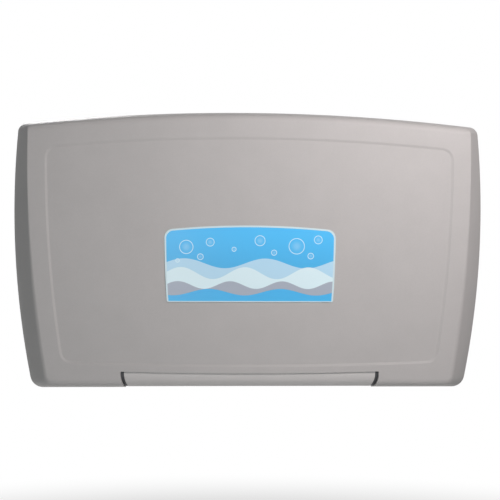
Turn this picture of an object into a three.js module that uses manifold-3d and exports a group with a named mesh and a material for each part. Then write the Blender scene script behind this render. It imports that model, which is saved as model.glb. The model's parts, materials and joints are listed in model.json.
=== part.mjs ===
// Wall-mounted baby changing station, horizontal type, closed: a bed that folds down from a shallow
// housing about a hinge shaft along its lower edge, held back by a gas strut.
// Millimetres, +Z up. The wall is the plane y = 0, the front faces -Y, and z = 0 is the bottom edge
// until the last lines, which put the origin at the middle of the wall face.
import * as THREE from 'three';
import { mergeVertices } from 'three/addons/utils/BufferGeometryUtils.js';
import Module from 'manifold-3d';

const wasm = await Module();
wasm.setup();

// Overall sizes
const WIDTH = 880;
const HEIGHT = 516;
const DEPTH = 102;
const HOUSING_DEPTH = 50;
const SHADOW_GAP = 3;
const SKIN = 3;
const GAP = 0.3;
// How far a cutting shape runs past what it cuts
const PAST = 10;

// Front outlines: side arcs that are widest at zWide, a crowned top and a bottom edge
const NEARLY_STRAIGHT = 1e6;
const OUTLINE = {
  half: WIDTH / 2, zWide: 338, sideR: 1615, zTop: HEIGHT, topR: 3750,
  zBottom: 0, bottomR: NEARLY_STRAIGHT, cornerTop: 17, cornerBottom: 24,
};
const CREASE = {
  half: 410.5, zWide: 430, sideR: 2355, zTop: HEIGHT - 11, topR: 3750,
  zBottom: 8, bottomR: NEARLY_STRAIGHT, cornerTop: 9, cornerBottom: 18,
};
const PANEL = {
  half: 377.5, zWide: 430, sideR: 2319, zTop: 464.5, topR: 3710,
  zBottom: 42, bottomR: 8000, cornerTop: 22, cornerBottom: 22,
};
const HOUSING = {
  half: 434, zWide: 338, sideR: 1609, zTop: HEIGHT - 14, topR: 3486,
  zBottom: 3.2, bottomR: NEARLY_STRAIGHT, cornerTop: 20, cornerBottom: 18,
};
const MOUTH = {
  half: 394, zWide: 338, sideR: 1569, zTop: HEIGHT - 46, topR: 3704,
  zBottom: 68, bottomR: NEARLY_STRAIGHT, cornerTop: 34, cornerBottom: 34,
};

// Depths of the bed, measured from the wall
const FACE_Y = -DEPTH;
const PANEL_STEP = 1.8;
const PANEL_Y = FACE_Y + PANEL_STEP;
const RIM_Y = -(HOUSING_DEPTH + SHADOW_GAP);
const FLOOR_Y = -88;
const BEVEL_BACK = RIM_Y - 6;
const BEVEL_SWELL = 0.3;

// Hinge: a barrel round the shaft, set into a well in the bed's lower edge
const AXIS_Y = -74;
const AXIS_Z = 28;
const BARREL_R = 24.8;
const BARREL_BOTTOM = AXIS_Z - BARREL_R;
const WELL_R = 25.4;
const BARREL_HALF = 232;
const WELL_HALF = 238.3;
const END_CURL = 7.5;
const CENTRE_HALF = 223;
// The bed's lip over the barrel, parallel to the panel's lower edge
const LIP_Z = 29.3;
const LIP_R = PANEL.bottomR;
const NECK_TOP = AXIS_Z + 10;
const SHAFT_R = 7;
const SHAFT_HALF = 300;
const BRACKET_X = 203;
const ARM_X = 270;

// Gas strut and its crank, seen along X from the shaft
const STRUT_X = 150;
const CRANK_R = 36;
const CRANK_SHUT = THREE.MathUtils.degToRad(-24);
const STRUT_TOP_Y = -16;
const STRUT_TOP_Z = 300;
const CYLINDER_R = 9;
const BORE_R = 7.6;
const ROD_R = 4;

const STRAP_Z = 228;
const STRAP_WIDE = 38;

const GREY = { color: 0xb5b0ad, roughness: 0.55, metalness: 0 };
const INNER_GREY = { color: 0xc6c2bf, roughness: 0.6, metalness: 0 };
const STEEL = { color: 0x9a9da0, roughness: 0.4, metalness: 0.9 };
const BLACK_STEEL = { color: 0x2c2d2f, roughness: 0.45, metalness: 0.5 };
const NYLON = { color: 0x3a3b3d, roughness: 0.6, metalness: 0 };
const RUBBER = { color: 0x26262a, roughness: 0.85, metalness: 0 };
const WEBBING = { color: 0x3d4a5c, roughness: 0.9, metalness: 0 };
const BLUE_PRINT = { color: 0x44b3eb, roughness: 0.35, metalness: 0 };

const station = new THREE.Group();

// Solids and meshes

// Merges shared corners and turns the faces outwards.
function sealed(geometry) {
  const bare = new THREE.BufferGeometry();
  bare.setAttribute('position', geometry.getAttribute('position'));
  bare.setIndex(geometry.getIndex());
  const merged = mergeVertices(bare, 1e-4);
  const p = merged.getAttribute('position').array;
  const index = Array.from(merged.getIndex().array);
  const faces = [];
  let volume = 0;
  for (let i = 0; i < index.length; i += 3) {
    const [a, b, c] = index.slice(i, i + 3);
    if (a === b || b === c || c === a) continue;
    faces.push([a, b, c]);
    const corner = (k) => new THREE.Vector3(p[3 * k], p[3 * k + 1], p[3 * k + 2]);
    volume += corner(a).dot(corner(b).cross(corner(c)));
  }
  if (volume < 0) faces.forEach((face) => face.reverse());
  merged.setIndex(faces.flat());
  return merged;
}

function solid(geometry) {
  const closed = sealed(geometry);
  return new wasm.Manifold(new wasm.Mesh({
    numProp: 3,
    vertProperties: new Float32Array(closed.getAttribute('position').array),
    triVerts: new Uint32Array(closed.getIndex().array),
  }));
}

function surface(manifold) {
  const mesh = manifold.getMesh();
  const geometry = new THREE.BufferGeometry();
  geometry.setAttribute('position', new THREE.BufferAttribute(mesh.vertProperties, 3));
  geometry.setIndex(Array.from(mesh.triVerts));
  return geometry;
}

function addPart(name, shape, finish) {
  const geometry = surface(shape);
  geometry.computeVertexNormals();
  const mesh = new THREE.Mesh(geometry, new THREE.MeshStandardMaterial(finish));
  mesh.name = name;
  station.add(mesh);
}

function box(low, high) {
  const size = low.map((value, k) => high[k] - value);
  const geometry = new THREE.BoxGeometry(...size);
  geometry.translate(...low.map((value, k) => (value + high[k]) / 2));
  return solid(geometry);
}

function shapeOf(points) {
  return new THREE.Shape(points.map(([u, v]) => new THREE.Vector2(u, v)));
}

// A profile given as [y, z] points, drawn out along X.
function alongX(points, x0, x1) {
  const geometry = new THREE.ExtrudeGeometry(shapeOf(points), { depth: x1 - x0, bevelEnabled: false });
  const turn = new THREE.Matrix4().set(0, 0, 1, x0, 1, 0, 0, 0, 0, 1, 0, 0, 0, 0, 0, 1);
  return solid(geometry.applyMatrix4(turn));
}

// A profile given as [x, z] points, drawn out along Y.
function alongY(points, y0, y1) {
  const geometry = new THREE.ExtrudeGeometry(shapeOf(points), { depth: y1 - y0, bevelEnabled: false });
  const turn = new THREE.Matrix4().set(1, 0, 0, 0, 0, 0, -1, y1, 0, 1, 0, 0, 0, 0, 0, 1);
  return solid(geometry.applyMatrix4(turn));
}

// A profile given as [x, y] points, drawn out along Z.
function alongZ(points, z0, z1) {
  const geometry = new THREE.ExtrudeGeometry(shapeOf(points), { depth: z1 - z0, bevelEnabled: false });
  return solid(geometry.translate(0, 0, z0));
}

// A turned piece: profile points are [radius, distance along the axis].
function turned(points, sides = 20) {
  return new THREE.LatheGeometry(points.map(([r, h]) => new THREE.Vector2(r, h)), sides);
}

// A turned piece with its axis along X, set on the line through y, z.
function turnedX(points, y, z, sides = 20) {
  const geometry = turned(points, sides).rotateZ(-Math.PI / 2);
  return solid(geometry.translate(0, y, z));
}

function rodX(radius, x0, x1, y, z, sides = 20) {
  return turnedX([[0, x0], [radius, x0], [radius, x1], [0, x1]], y, z, sides);
}

function ringX(outer, inner, x0, x1, y, z, sides = 20) {
  return turnedX([[inner, x0], [outer, x0], [outer, x1], [inner, x1], [inner, x0]], y, z, sides);
}

// A turned piece with its axis along Y, set on the line through x, z.
function turnedY(points, x, z, sides = 20) {
  return solid(turned(points, sides).translate(x, 0, z));
}

function rodY(radius, y0, y1, x, z, sides = 20) {
  return turnedY([[0, y0], [radius, y0], [radius, y1], [0, y1]], x, z, sides);
}

// Points of an arc about a centre, angles in degrees.
function arc(cu, cv, radius, from, to, steps) {
  return Array.from({ length: steps + 1 }, (_, k) => {
    const angle = THREE.MathUtils.degToRad(from + ((to - from) * k) / steps);
    return [cu + radius * Math.cos(angle), cv + radius * Math.sin(angle)];
  });
}

function roundedBox(x0, x1, z0, z1, radius, y0, y1, steps = 4) {
  return alongY([
    ...arc(x1 - radius, z0 + radius, radius, -90, 0, steps),
    ...arc(x1 - radius, z1 - radius, radius, 0, 90, steps),
    ...arc(x0 + radius, z1 - radius, radius, 90, 180, steps),
    ...arc(x0 + radius, z0 + radius, radius, 180, 270, steps),
  ], y0, y1);
}

// Rounded outlines

function inset(outline, d) {
  return {
    ...outline,
    half: outline.half - d,
    sideR: outline.sideR - d,
    zTop: outline.zTop - d,
    topR: outline.topR - d,
    zBottom: outline.zBottom + d,
    bottomR: outline.bottomR - d,
    cornerTop: Math.max(outline.cornerTop - d, 3),
    cornerBottom: Math.max(outline.cornerBottom - d, 3),
  };
}

// Centre of a corner fillet that touches two larger circles from inside.
function filletCentre(a, ra, b, rb, corner, upper) {
  const dx = b[0] - a[0];
  const dz = b[1] - a[1];
  const apart = Math.hypot(dx, dz);
  const r1 = ra - corner;
  const r2 = rb - corner;
  const along = (r1 * r1 - r2 * r2 + apart * apart) / (2 * apart);
  const across = Math.sqrt(r1 * r1 - along * along);
  const ends = [1, -1].map((sign) => [
    a[0] + (along * dx - sign * across * dz) / apart,
    a[1] + (along * dz + sign * across * dx) / apart,
  ]);
  ends.sort((p, q) => p[1] - q[1]);
  return upper ? ends[1] : ends[0];
}

const STEPS = { bottom: 4, corner: 4, side: 8, top: 8 };

// The outline as one ring of [x, z] points, counter-clockwise from the middle of the bottom edge.
function ring(outline) {
  const side = [outline.half - outline.sideR, outline.zWide];
  const top = [0, outline.zTop - outline.topR];
  const bottom = [0, outline.zBottom + outline.bottomR];
  const low = filletCentre(side, outline.sideR, bottom, outline.bottomR, outline.cornerBottom, false);
  const high = filletCentre(side, outline.sideR, top, outline.topR, outline.cornerTop, true);
  const angle = (from, to) => THREE.MathUtils.radToDeg(Math.atan2(to[1] - from[1], to[0] - from[0]));
  const lowSide = angle(side, low);
  const highSide = angle(side, high);
  const highTop = angle(top, high);
  const lowBottom = angle(bottom, low);
  const half = [
    ...arc(...bottom, outline.bottomR, -90, lowBottom, STEPS.bottom).slice(0, -1),
    ...arc(...low, outline.cornerBottom, lowBottom, lowSide, STEPS.corner).slice(0, -1),
    ...arc(...side, outline.sideR, lowSide, highSide, STEPS.side).slice(0, -1),
    ...arc(...high, outline.cornerTop, highSide, highTop, STEPS.corner).slice(0, -1),
    ...arc(...top, outline.topR, highTop, 90, STEPS.top),
  ];
  const mirrored = half.slice(1, -1).reverse().map(([x, z]) => [-x, z]);
  return [...half, ...mirrored];
}

function blend(ringA, ringB, t) {
  return ringA.map(([x, z], k) => [x + (ringB[k][0] - x) * t, z + (ringB[k][1] - z) * t]);
}

// A closed solid through rings given as [y, ring] from back to front.
function loft(sections) {
  const count = sections[0][1].length;
  const points = sections.flatMap(([y, loop]) => loop.map(([x, z]) => [x, y, z]));
  const faces = [];
  for (let s = 0; s + 1 < sections.length; s += 1) {
    for (let k = 0; k < count; k += 1) {
      const a = s * count + k;
      const b = s * count + ((k + 1) % count);
      faces.push(a, b, a + count, b, b + count, a + count);
    }
  }
  for (const [s, flip] of [[0, true], [sections.length - 1, false]]) {
    const [y, loop] = sections[s];
    const middle = points.length;
    const mid = [0, 1].map((k) => loop.reduce((sum, point) => sum + point[k], 0) / count);
    points.push([mid[0], y, mid[1]]);
    for (let k = 0; k < count; k += 1) {
      const edge = [s * count + k, s * count + ((k + 1) % count)];
      faces.push(...(flip ? edge.reverse() : edge), middle);
    }
  }
  const geometry = new THREE.BufferGeometry();
  geometry.setAttribute('position', new THREE.Float32BufferAttribute(points.flat(), 3));
  geometry.setIndex(faces);
  return solid(geometry);
}

function bothSides(build) {
  build('left', -1);
  build('right', 1);
}

// Sorts a pair of x values so that a box on either side keeps its low corner first.
function span(side, inner, outer) {
  return side > 0 ? [inner, outer] : [-outer, -inner];
}

// Bed

// Half the length of the barrel, or of its well, at height z: the ends curl in towards the bottom.
function endX(half, z) {
  const share = THREE.MathUtils.clamp((LIP_Z - z) / (LIP_Z - BARREL_BOTTOM), 0, 1);
  return half - END_CURL * share ** 2;
}

// Front view of that length, from below the barrel up to a top edge given as [x, z] points.
function endToEnd(half, topEdge) {
  const levels = [0, 0.25, 0.5, 0.75, 1].map((t) => BARREL_BOTTOM + (LIP_Z - BARREL_BOTTOM) * t);
  const right = [-PAST, ...levels].map((z) => [endX(half, z), z]);
  const left = right.slice().reverse().map(([x, z]) => [-x, z]);
  return [...right, ...topEdge, ...left];
}

// Everything between the two curled ends at that length, above and below the barrel.
function betweenEnds(half) {
  const above = AXIS_Z + 2 * WELL_R;
  return alongY(endToEnd(half, [[half, above], [-half, above]]), FACE_Y - PAST, RIM_Y + 2 * PAST);
}

// The space that the hinge barrel and its neck take out of the bed, grown by a wall thickness.
function hingeWell(grow) {
  const radius = WELL_R + grow;
  const neck = NECK_TOP + 1 + grow;
  const half = WELL_HALF + grow;
  const neckAngle = THREE.MathUtils.radToDeg(Math.asin((neck - AXIS_Z) / radius));
  const room = alongX([
    [RIM_Y + PAST, neck],
    ...arc(AXIS_Y, AXIS_Z, radius, neckAngle, 180, 16),
    [AXIS_Y - radius, -PAST],
    [RIM_Y + PAST, -PAST],
  ], -SHAFT_HALF, SHAFT_HALF);
  const lip = [1, 0.75, 0.5, 0.25, 0, -0.25, -0.5, -0.75, -1].map((share) => {
    const x = share * half;
    return [x, LIP_Z + grow + x ** 2 / (2 * LIP_R)];
  });
  const front = alongY(endToEnd(half, lip), FACE_Y - PAST, AXIS_Y);
  return room.intersect(betweenEnds(half)).add(front);
}

// The slightly swelling bevel round the bed, at a share t of the way from its back to the crease.
function bevel(t, wall = 0) {
  const y = BEVEL_BACK + (FACE_Y - BEVEL_BACK) * t;
  const swollen = t - BEVEL_SWELL * t * (1 - t);
  return [y, blend(ring(inset(OUTLINE, wall)), ring(inset(CREASE, wall)), swollen)];
}

function bedCover() {
  const outer = loft([
    [RIM_Y, ring(inset(OUTLINE, 2))],
    [RIM_Y - 2, ring(inset(OUTLINE, 0.5))],
    bevel(0),
    bevel(0.35),
    bevel(0.7),
    bevel(0.9),
    [FACE_Y + 2, ring(inset(CREASE, 0.8))],
    [FACE_Y + 0.6, ring(inset(CREASE, 2.6))],
    [FACE_Y, ring(inset(CREASE, 6))],
    [FACE_Y, ring(PANEL)],
    [PANEL_Y, ring(inset(PANEL, 3))],
  ]);
  const hollow = loft([
    [RIM_Y + 5, ring(inset(OUTLINE, SKIN + 0.4))],
    bevel(0, SKIN + 0.4),
    bevel(0.72, SKIN + 0.6),
    [PANEL_Y + SKIN + 1.7, ring(inset(CREASE, SKIN + 1.6))],
    [PANEL_Y + SKIN, ring(inset(CREASE, SKIN + 5))],
  ]);
  const shaftHole = rodX(SHAFT_R + 0.6, -WELL_HALF - 20, WELL_HALF + 20, AXIS_Y, AXIS_Z);
  return outer.subtract(hingeWell(0)).subtract(hollow.subtract(hingeWell(SKIN))).subtract(shaftHole);
}

function bedTray() {
  const flangeBack = RIM_Y - 0.4;
  const flange = alongY(ring(inset(OUTLINE, SKIN + 0.8)), flangeBack - SKIN, flangeBack);
  const panOuter = loft([
    [flangeBack - SKIN + 1, ring(inset(MOUTH, -SKIN))],
    [FLOOR_Y + 18, ring(MOUTH)],
    [FLOOR_Y + 4, ring(inset(MOUTH, 3))],
    [FLOOR_Y - SKIN, ring(inset(MOUTH, 10))],
  ]);
  const panInner = loft([
    [RIM_Y + 5, ring(inset(MOUTH, -1))],
    [flangeBack - 2, ring(inset(MOUTH, 1))],
    [FLOOR_Y + 18, ring(inset(MOUTH, 3.4))],
    [FLOOR_Y + 6, ring(inset(MOUTH, 6.4))],
    [FLOOR_Y, ring(inset(MOUTH, 14))],
  ]);
  const roomHalf = WELL_HALF + 7;
  const wellRoom = box([-roomHalf, FACE_Y, -PAST], [roomHalf, RIM_Y + PAST, AXIS_Z + WELL_R]);
  return flange.subtract(wellRoom).add(panOuter).subtract(panInner);
}

addPart('bed_cover', bedCover(), GREY);
addPart('bed_tray', bedTray(), INNER_GREY);

// Housing

// The wedge cut away behind each end of the bed's lower edge, so that the ends can swing through. Its
// face slopes from the bottom edge up to the front of the housing.
const EAR_FOOT_Y = -24;
const EAR_TOP_Z = 64;

function earWedge(side, offset) {
  const rise = EAR_TOP_Z - HOUSING.zBottom;
  const run = -HOUSING_DEPTH - EAR_FOOT_Y;
  const foot = EAR_FOOT_Y + (offset * Math.hypot(run, rise)) / rise;
  const reach = 1.8;
  const front = foot + run * reach;
  const [x0, x1] = span(side, CENTRE_HALF + 1 - offset, WIDTH / 2 + PAST);
  return alongX([
    [foot, HOUSING.zBottom], [front, HOUSING.zBottom + rise * reach], [front, -PAST], [foot, -PAST],
  ], x0, x1);
}

function withoutEars(shape, offset) {
  return shape.subtract(earWedge(-1, offset)).subtract(earWedge(1, offset));
}

function backShell() {
  const front = -HOUSING_DEPTH + SKIN;
  const outer = withoutEars(alongY(ring(HOUSING), front, 0), 0);
  const hollow = withoutEars(alongY(ring(inset(HOUSING, SKIN)), front - 5, -SKIN), SKIN);
  return outer.subtract(hollow);
}

const POCKET = { half: 115, low: 233, high: 403, back: -8, wall: 2.5, corner: 12 };
const LINER_MOUTH = { half: 103, low: 298, high: 391, corner: 3 };
const SLOT = { half: 14, low: 20, high: 158 };

function innerPanel() {
  const back = -HOUSING_DEPTH + SKIN - GAP;
  const plate = withoutEars(alongY(ring(HOUSING), -HOUSING_DEPTH, back), 0);
  const before = -HOUSING_DEPTH - PAST;
  const behind = -HOUSING_DEPTH + PAST;
  const neckHalf = CENTRE_HALF + 2;
  const neckRoom = box([-neckHalf, before, -PAST], [neckHalf, behind, NECK_TOP + 0.6]);
  const mouth = roundedBox(-LINER_MOUTH.half, LINER_MOUTH.half, LINER_MOUTH.low, LINER_MOUTH.high,
    LINER_MOUTH.corner, before, behind);
  const slot = box([STRUT_X - SLOT.half, before, SLOT.low], [STRUT_X + SLOT.half, behind, SLOT.high]);
  return plate.subtract(neckRoom).subtract(mouth).subtract(slot);
}

function linerPocket() {
  const front = -HOUSING_DEPTH + SKIN;
  const shell = (wall) => roundedBox(-POCKET.half + wall, POCKET.half - wall, POCKET.low + wall,
    POCKET.high - wall, POCKET.corner - wall, front - 2 * wall, POCKET.back - wall);
  return shell(0).subtract(shell(POCKET.wall));
}

// The fixed barrel over the shaft, with a neck that runs back into the housing.
function hingeCover() {
  const section = (radius, top, bottom, back) => {
    const from = THREE.MathUtils.radToDeg(Math.asin((top - AXIS_Z) / radius));
    return [[back, top], ...arc(AXIS_Y, AXIS_Z, radius, from, 270, 24), [back, bottom]];
  };
  const back = -HOUSING_DEPTH + SKIN - GAP;
  const outer = alongX(section(BARREL_R, NECK_TOP, BARREL_BOTTOM, back), -BARREL_HALF, BARREL_HALF);
  const bore = BARREL_R - SKIN;
  const hollow = alongX(section(bore, NECK_TOP - SKIN, BARREL_BOTTOM + SKIN, back + PAST),
    -CENTRE_HALF + SKIN, CENTRE_HALF - SKIN);
  const above = AXIS_Z + 2 * BARREL_R;
  let cover = outer.intersect(betweenEnds(BARREL_HALF)).subtract(hollow);
  bothSides((_, side) => {
    const [x0, x1] = span(side, CENTRE_HALF, BARREL_HALF + PAST);
    cover = cover.subtract(box([x0, AXIS_Y, -PAST], [x1, back + PAST, above]));
  });
  const slot = box([STRUT_X - SLOT.half, AXIS_Y - 3, SLOT.low],
    [STRUT_X + SLOT.half, back + PAST, above]);
  const shaftHole = rodX(SHAFT_R + 0.6, -BARREL_HALF - PAST, BARREL_HALF + PAST, AXIS_Y, AXIS_Z);
  return cover.subtract(slot).subtract(shaftHole);
}

// The dark ring in the gap between an end of the barrel and the bed, on the front half only.
function hingeEndRing(side) {
  const [x0, x1] = span(side, CENTRE_HALF, WELL_HALF);
  return rodX(BARREL_R - 0.6, x0, x1, AXIS_Y, AXIS_Z, 48)
    .intersect(betweenEnds(WELL_HALF - 0.5))
    .subtract(betweenEnds(BARREL_HALF + GAP))
    .subtract(box([x0 - PAST, AXIS_Y, -PAST], [x1 + PAST, RIM_Y + PAST, AXIS_Z + 2 * BARREL_R]))
    .subtract(rodX(SHAFT_R + 0.6, x0 - PAST, x1 + PAST, AXIS_Y, AXIS_Z));
}

// A low hood on the inner panel over the slot that the strut rod swings through, open below.
const HOOD = { low: 78, brow: 116, slope: 158, high: 178, front: -64, slopeY: -57, wall: 2 };

function strutShroud() {
  const foot = -HOUSING_DEPTH - GAP;
  const half = SLOT.half + 4;
  const outer = alongX([
    [foot, HOOD.low], [foot, HOOD.high], [HOOD.slopeY, HOOD.slope],
    [HOOD.front, HOOD.brow], [HOOD.front, HOOD.low],
  ], STRUT_X - half, STRUT_X + half);
  const inside = HOOD.front + HOOD.wall;
  const hollow = alongX([
    [foot + PAST, HOOD.low - PAST], [foot + PAST, HOOD.high + PAST],
    [HOOD.slopeY + HOOD.wall, HOOD.slope - 3], [inside, HOOD.brow - 1], [inside, HOOD.low - PAST],
  ], STRUT_X - half + HOOD.wall, STRUT_X + half - HOOD.wall);
  return outer.subtract(hollow);
}

addPart('back_shell', backShell(), GREY);
addPart('inner_panel', innerPanel(), INNER_GREY);
addPart('liner_pocket', linerPocket(), INNER_GREY);
addPart('hinge_cover', hingeCover(), GREY);
addPart('strut_shroud', strutShroud(), INNER_GREY);
bothSides((name, side) => addPart(`hinge_end_ring_${name}`, hingeEndRing(side), NYLON));

// Steel chassis behind the inner panel

const PLATE_BACK = -SKIN - GAP;
const PLATE_FRONT = PLATE_BACK - 3;
const PLATE_HALF = 30;
const FLANGE_BACK = PLATE_FRONT - GAP;
const FLANGE_FRONT = FLANGE_BACK - 3;
const LAG_HOLES_Z = [100, 260, 420];
const LAG_HOLE_R = 5;
const BOSS_R = 13;
const BOLT_Z = AXIS_Z + 16;
const BOLT_APART = 26;

function wallPlate(side) {
  const [x0, x1] = span(side, BRACKET_X - PLATE_HALF, BRACKET_X + PLATE_HALF);
  let plate = roundedBox(x0, x1, 10, 470, 6, PLATE_FRONT, PLATE_BACK);
  for (const z of LAG_HOLES_Z) {
    plate = plate.subtract(rodY(LAG_HOLE_R, PLATE_FRONT - 1, PLATE_BACK + 1, side * BRACKET_X, z, 16));
  }
  return plate;
}

function hingeBracket(side) {
  const x = side * BRACKET_X;
  const boss = rodX(BOSS_R, x - 5, x + 5, AXIS_Y, AXIS_Z, 24);
  const top = AXIS_Z + 32;
  const web = alongX([
    [FLANGE_BACK, AXIS_Z - 18], [-70, AXIS_Z - 12], [-70, AXIS_Z + 6], [-46, AXIS_Z + 6],
    [-40, top], [FLANGE_BACK, top],
  ], x - 4, x + 4);
  let bracket = boss.add(web).add(box([x - 20, FLANGE_FRONT, AXIS_Z - 14], [x + 20, FLANGE_BACK, top]));
  bracket = bracket.subtract(rodX(10.3, x - 9, x + 9, AXIS_Y, AXIS_Z, 24));
  for (const offset of [-BOLT_APART / 2, BOLT_APART / 2]) {
    bracket = bracket.subtract(rodY(3.4, FLANGE_FRONT - 1, FLANGE_BACK + 1, x + offset, BOLT_Z, 12));
  }
  return bracket;
}

// A flanged sleeve, its flange on the outer face of the bracket.
function hingeBush(side) {
  const x = side * BRACKET_X;
  const near = x - side * 6;
  const face = x + side * 5.3;
  const far = x + side * 7.3;
  const profile = [[7.3, near], [10, near], [10, face], [12.5, face], [12.5, far], [7.3, far], [7.3, near]];
  return turnedX(profile, AXIS_Y, AXIS_Z, 24);
}

function bracketBolt(x) {
  const seat = FLANGE_FRONT - GAP;
  const head = seat - 4;
  const profile = [[0, head], [5.5, head], [5.5, seat], [3, seat], [3, FLANGE_BACK], [0, FLANGE_BACK]];
  return turnedY(profile, x, BOLT_Z, 6);
}

bothSides((name, side) => {
  addPart(`wall_plate_${name}`, wallPlate(side), STEEL);
  addPart(`hinge_bracket_${name}`, hingeBracket(side), STEEL);
  addPart(`hinge_bush_${name}`, hingeBush(side), NYLON);
  addPart(`bracket_bolt_inner_${name}`, bracketBolt(side * (BRACKET_X - BOLT_APART / 2)), STEEL);
  addPart(`bracket_bolt_outer_${name}`, bracketBolt(side * (BRACKET_X + BOLT_APART / 2)), STEEL);
});

const RAIL_HALF = BRACKET_X - PLATE_HALF - GAP;
addPart('cross_rail',
  box([-RAIL_HALF, PLATE_FRONT, STRUT_TOP_Z - 14], [RAIL_HALF, PLATE_BACK, STRUT_TOP_Z + 14]), STEEL);

// Shaft and what is fixed to it

const RAIL_BACK = FLOOR_Y - SKIN - 0.4;
const RAIL_FRONT = RAIL_BACK - 5;
const RAIL_FOOT = 70;
const RAIL_TOP = 440;

// A steel arm clamped on the shaft in each end of the bed's lower edge.
function bedArm(side) {
  const x = side * ARM_X;
  const boss = rodX(BOSS_R, x - 4, x + 4, AXIS_Y, AXIS_Z, 24);
  const top = RAIL_FOOT - GAP;
  const web = alongX([
    [-64, AXIS_Z + 8], [-84, AXIS_Z - 8], [RAIL_FRONT, AXIS_Z + 16],
    [RAIL_FRONT, top], [RAIL_BACK, top], [RAIL_BACK, AXIS_Z + 34],
  ], x - 4, x + 4);
  return boss.add(web).subtract(rodX(SHAFT_R + GAP, x - 9, x + 9, AXIS_Y, AXIS_Z));
}

// The flat bar that stiffens the tray, standing on the arm.
function bedRail(side) {
  const x = side * ARM_X;
  return box([x - 20, RAIL_FRONT, RAIL_FOOT], [x + 20, RAIL_BACK, RAIL_TOP]);
}

addPart('hinge_shaft', rodX(SHAFT_R, -SHAFT_HALF, SHAFT_HALF, AXIS_Y, AXIS_Z), STEEL);
bothSides((name, side) => {
  const [x0, x1] = span(side, BRACKET_X + 8.5, BRACKET_X + 16);
  addPart(`shaft_collar_${name}`, ringX(11, SHAFT_R + GAP, x0, x1, AXIS_Y, AXIS_Z), STEEL);
  addPart(`bed_arm_${name}`, bedArm(side), STEEL);
  addPart(`bed_rail_${name}`, bedRail(side), STEEL);
});

// Gas strut: its rod eye runs beside the crank, so the linkage is open there.

const CRANK_EYE = [AXIS_Y + CRANK_R * Math.cos(CRANK_SHUT), AXIS_Z + CRANK_R * Math.sin(CRANK_SHUT)];
const STRUT_TOP = [STRUT_TOP_Y, STRUT_TOP_Z];
const STRUT_LENGTH = Math.hypot(CRANK_EYE[0] - STRUT_TOP[0], CRANK_EYE[1] - STRUT_TOP[1]);
const CYLINDER_END = 118;
const PIN_R = 4;
const EYE_HALF = 5;
const EYE_R = 6;
const CRANK_FACE = STRUT_X - EYE_HALF;

// A turned piece on the strut's line: profile points are [radius, distance from the top pivot].
function onStrut(points) {
  const down = new THREE.Vector3(0, CRANK_EYE[0] - STRUT_TOP[0], CRANK_EYE[1] - STRUT_TOP[1]).normalize();
  const turn = new THREE.Quaternion().setFromUnitVectors(new THREE.Vector3(0, 1, 0), down);
  const geometry = turned(points, 16).applyQuaternion(turn);
  return solid(geometry.translate(STRUT_X, ...STRUT_TOP));
}

function crankArm() {
  const x0 = CRANK_FACE - GAP - 6;
  const x1 = CRANK_FACE - GAP;
  const dy = Math.cos(CRANK_SHUT);
  const dz = Math.sin(CRANK_SHUT);
  const corner = (along, across) => [AXIS_Y + along * dy - across * dz, AXIS_Z + along * dz + across * dy];
  const web = alongX([corner(0, -10), corner(CRANK_R, -5.5), corner(CRANK_R, 5.5), corner(0, 10)], x0, x1);
  return rodX(12, x0, x1, AXIS_Y, AXIS_Z, 24)
    .add(web)
    .add(rodX(EYE_R, x0, x1, ...CRANK_EYE))
    .subtract(rodX(SHAFT_R + GAP, x0 - 3, x1 + 3, AXIS_Y, AXIS_Z));
}

function strutClevis() {
  const lug = [
    [FLANGE_BACK, STRUT_TOP_Z + 10], [STRUT_TOP_Y, STRUT_TOP_Z + 7], [STRUT_TOP_Y - 7, STRUT_TOP_Z],
    [STRUT_TOP_Y, STRUT_TOP_Z - 7], [FLANGE_BACK, STRUT_TOP_Z - 10],
  ];
  return box([STRUT_X - 14, FLANGE_FRONT, STRUT_TOP_Z - 13], [STRUT_X + 14, FLANGE_BACK, STRUT_TOP_Z + 13])
    .add(alongX(lug, STRUT_X - 7.5, STRUT_X - 4.5))
    .add(alongX(lug, STRUT_X + 4.5, STRUT_X + 7.5))
    .subtract(rodX(PIN_R + GAP, STRUT_X - PAST, STRUT_X + PAST, ...STRUT_TOP));
}

function clevisPin() {
  const head = STRUT_X - 10.5;
  const neck = STRUT_X - 8;
  const tip = STRUT_X + 10;
  return turnedX([[0, head], [6, head], [6, neck], [PIN_R, neck], [PIN_R, tip], [0, tip]], ...STRUT_TOP);
}

addPart('crank_arm', crankArm(), STEEL);
addPart('strut_clevis', strutClevis(), STEEL);
addPart('strut_clevis_pin', clevisPin(), STEEL);
addPart('strut_cylinder', onStrut([
  [0, 15], [CYLINDER_R, 15], [CYLINDER_R, CYLINDER_END], [BORE_R, CYLINDER_END], [BORE_R, 46], [0, 46],
]), BLACK_STEEL);
addPart('strut_top_eye', ringX(EYE_R, PIN_R + GAP, STRUT_X - 4, STRUT_X + 4, ...STRUT_TOP)
  .add(onStrut([[0, 5], [4, 5], [4, 14.7], [0, 14.7]]))
  .subtract(rodX(PIN_R + GAP, STRUT_X - PAST, STRUT_X + PAST, ...STRUT_TOP)), BLACK_STEEL);

const GLAND_TOP = CYLINDER_END - 9;
const GLAND_END = CYLINDER_END - 0.5;
const GLAND_BORE = ROD_R + GAP;
addPart('strut_gland', onStrut([
  [GLAND_BORE, GLAND_TOP], [BORE_R - GAP, GLAND_TOP], [BORE_R - GAP, GLAND_END], [GLAND_BORE, GLAND_END],
  [GLAND_BORE, GLAND_TOP],
]), NYLON);

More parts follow.
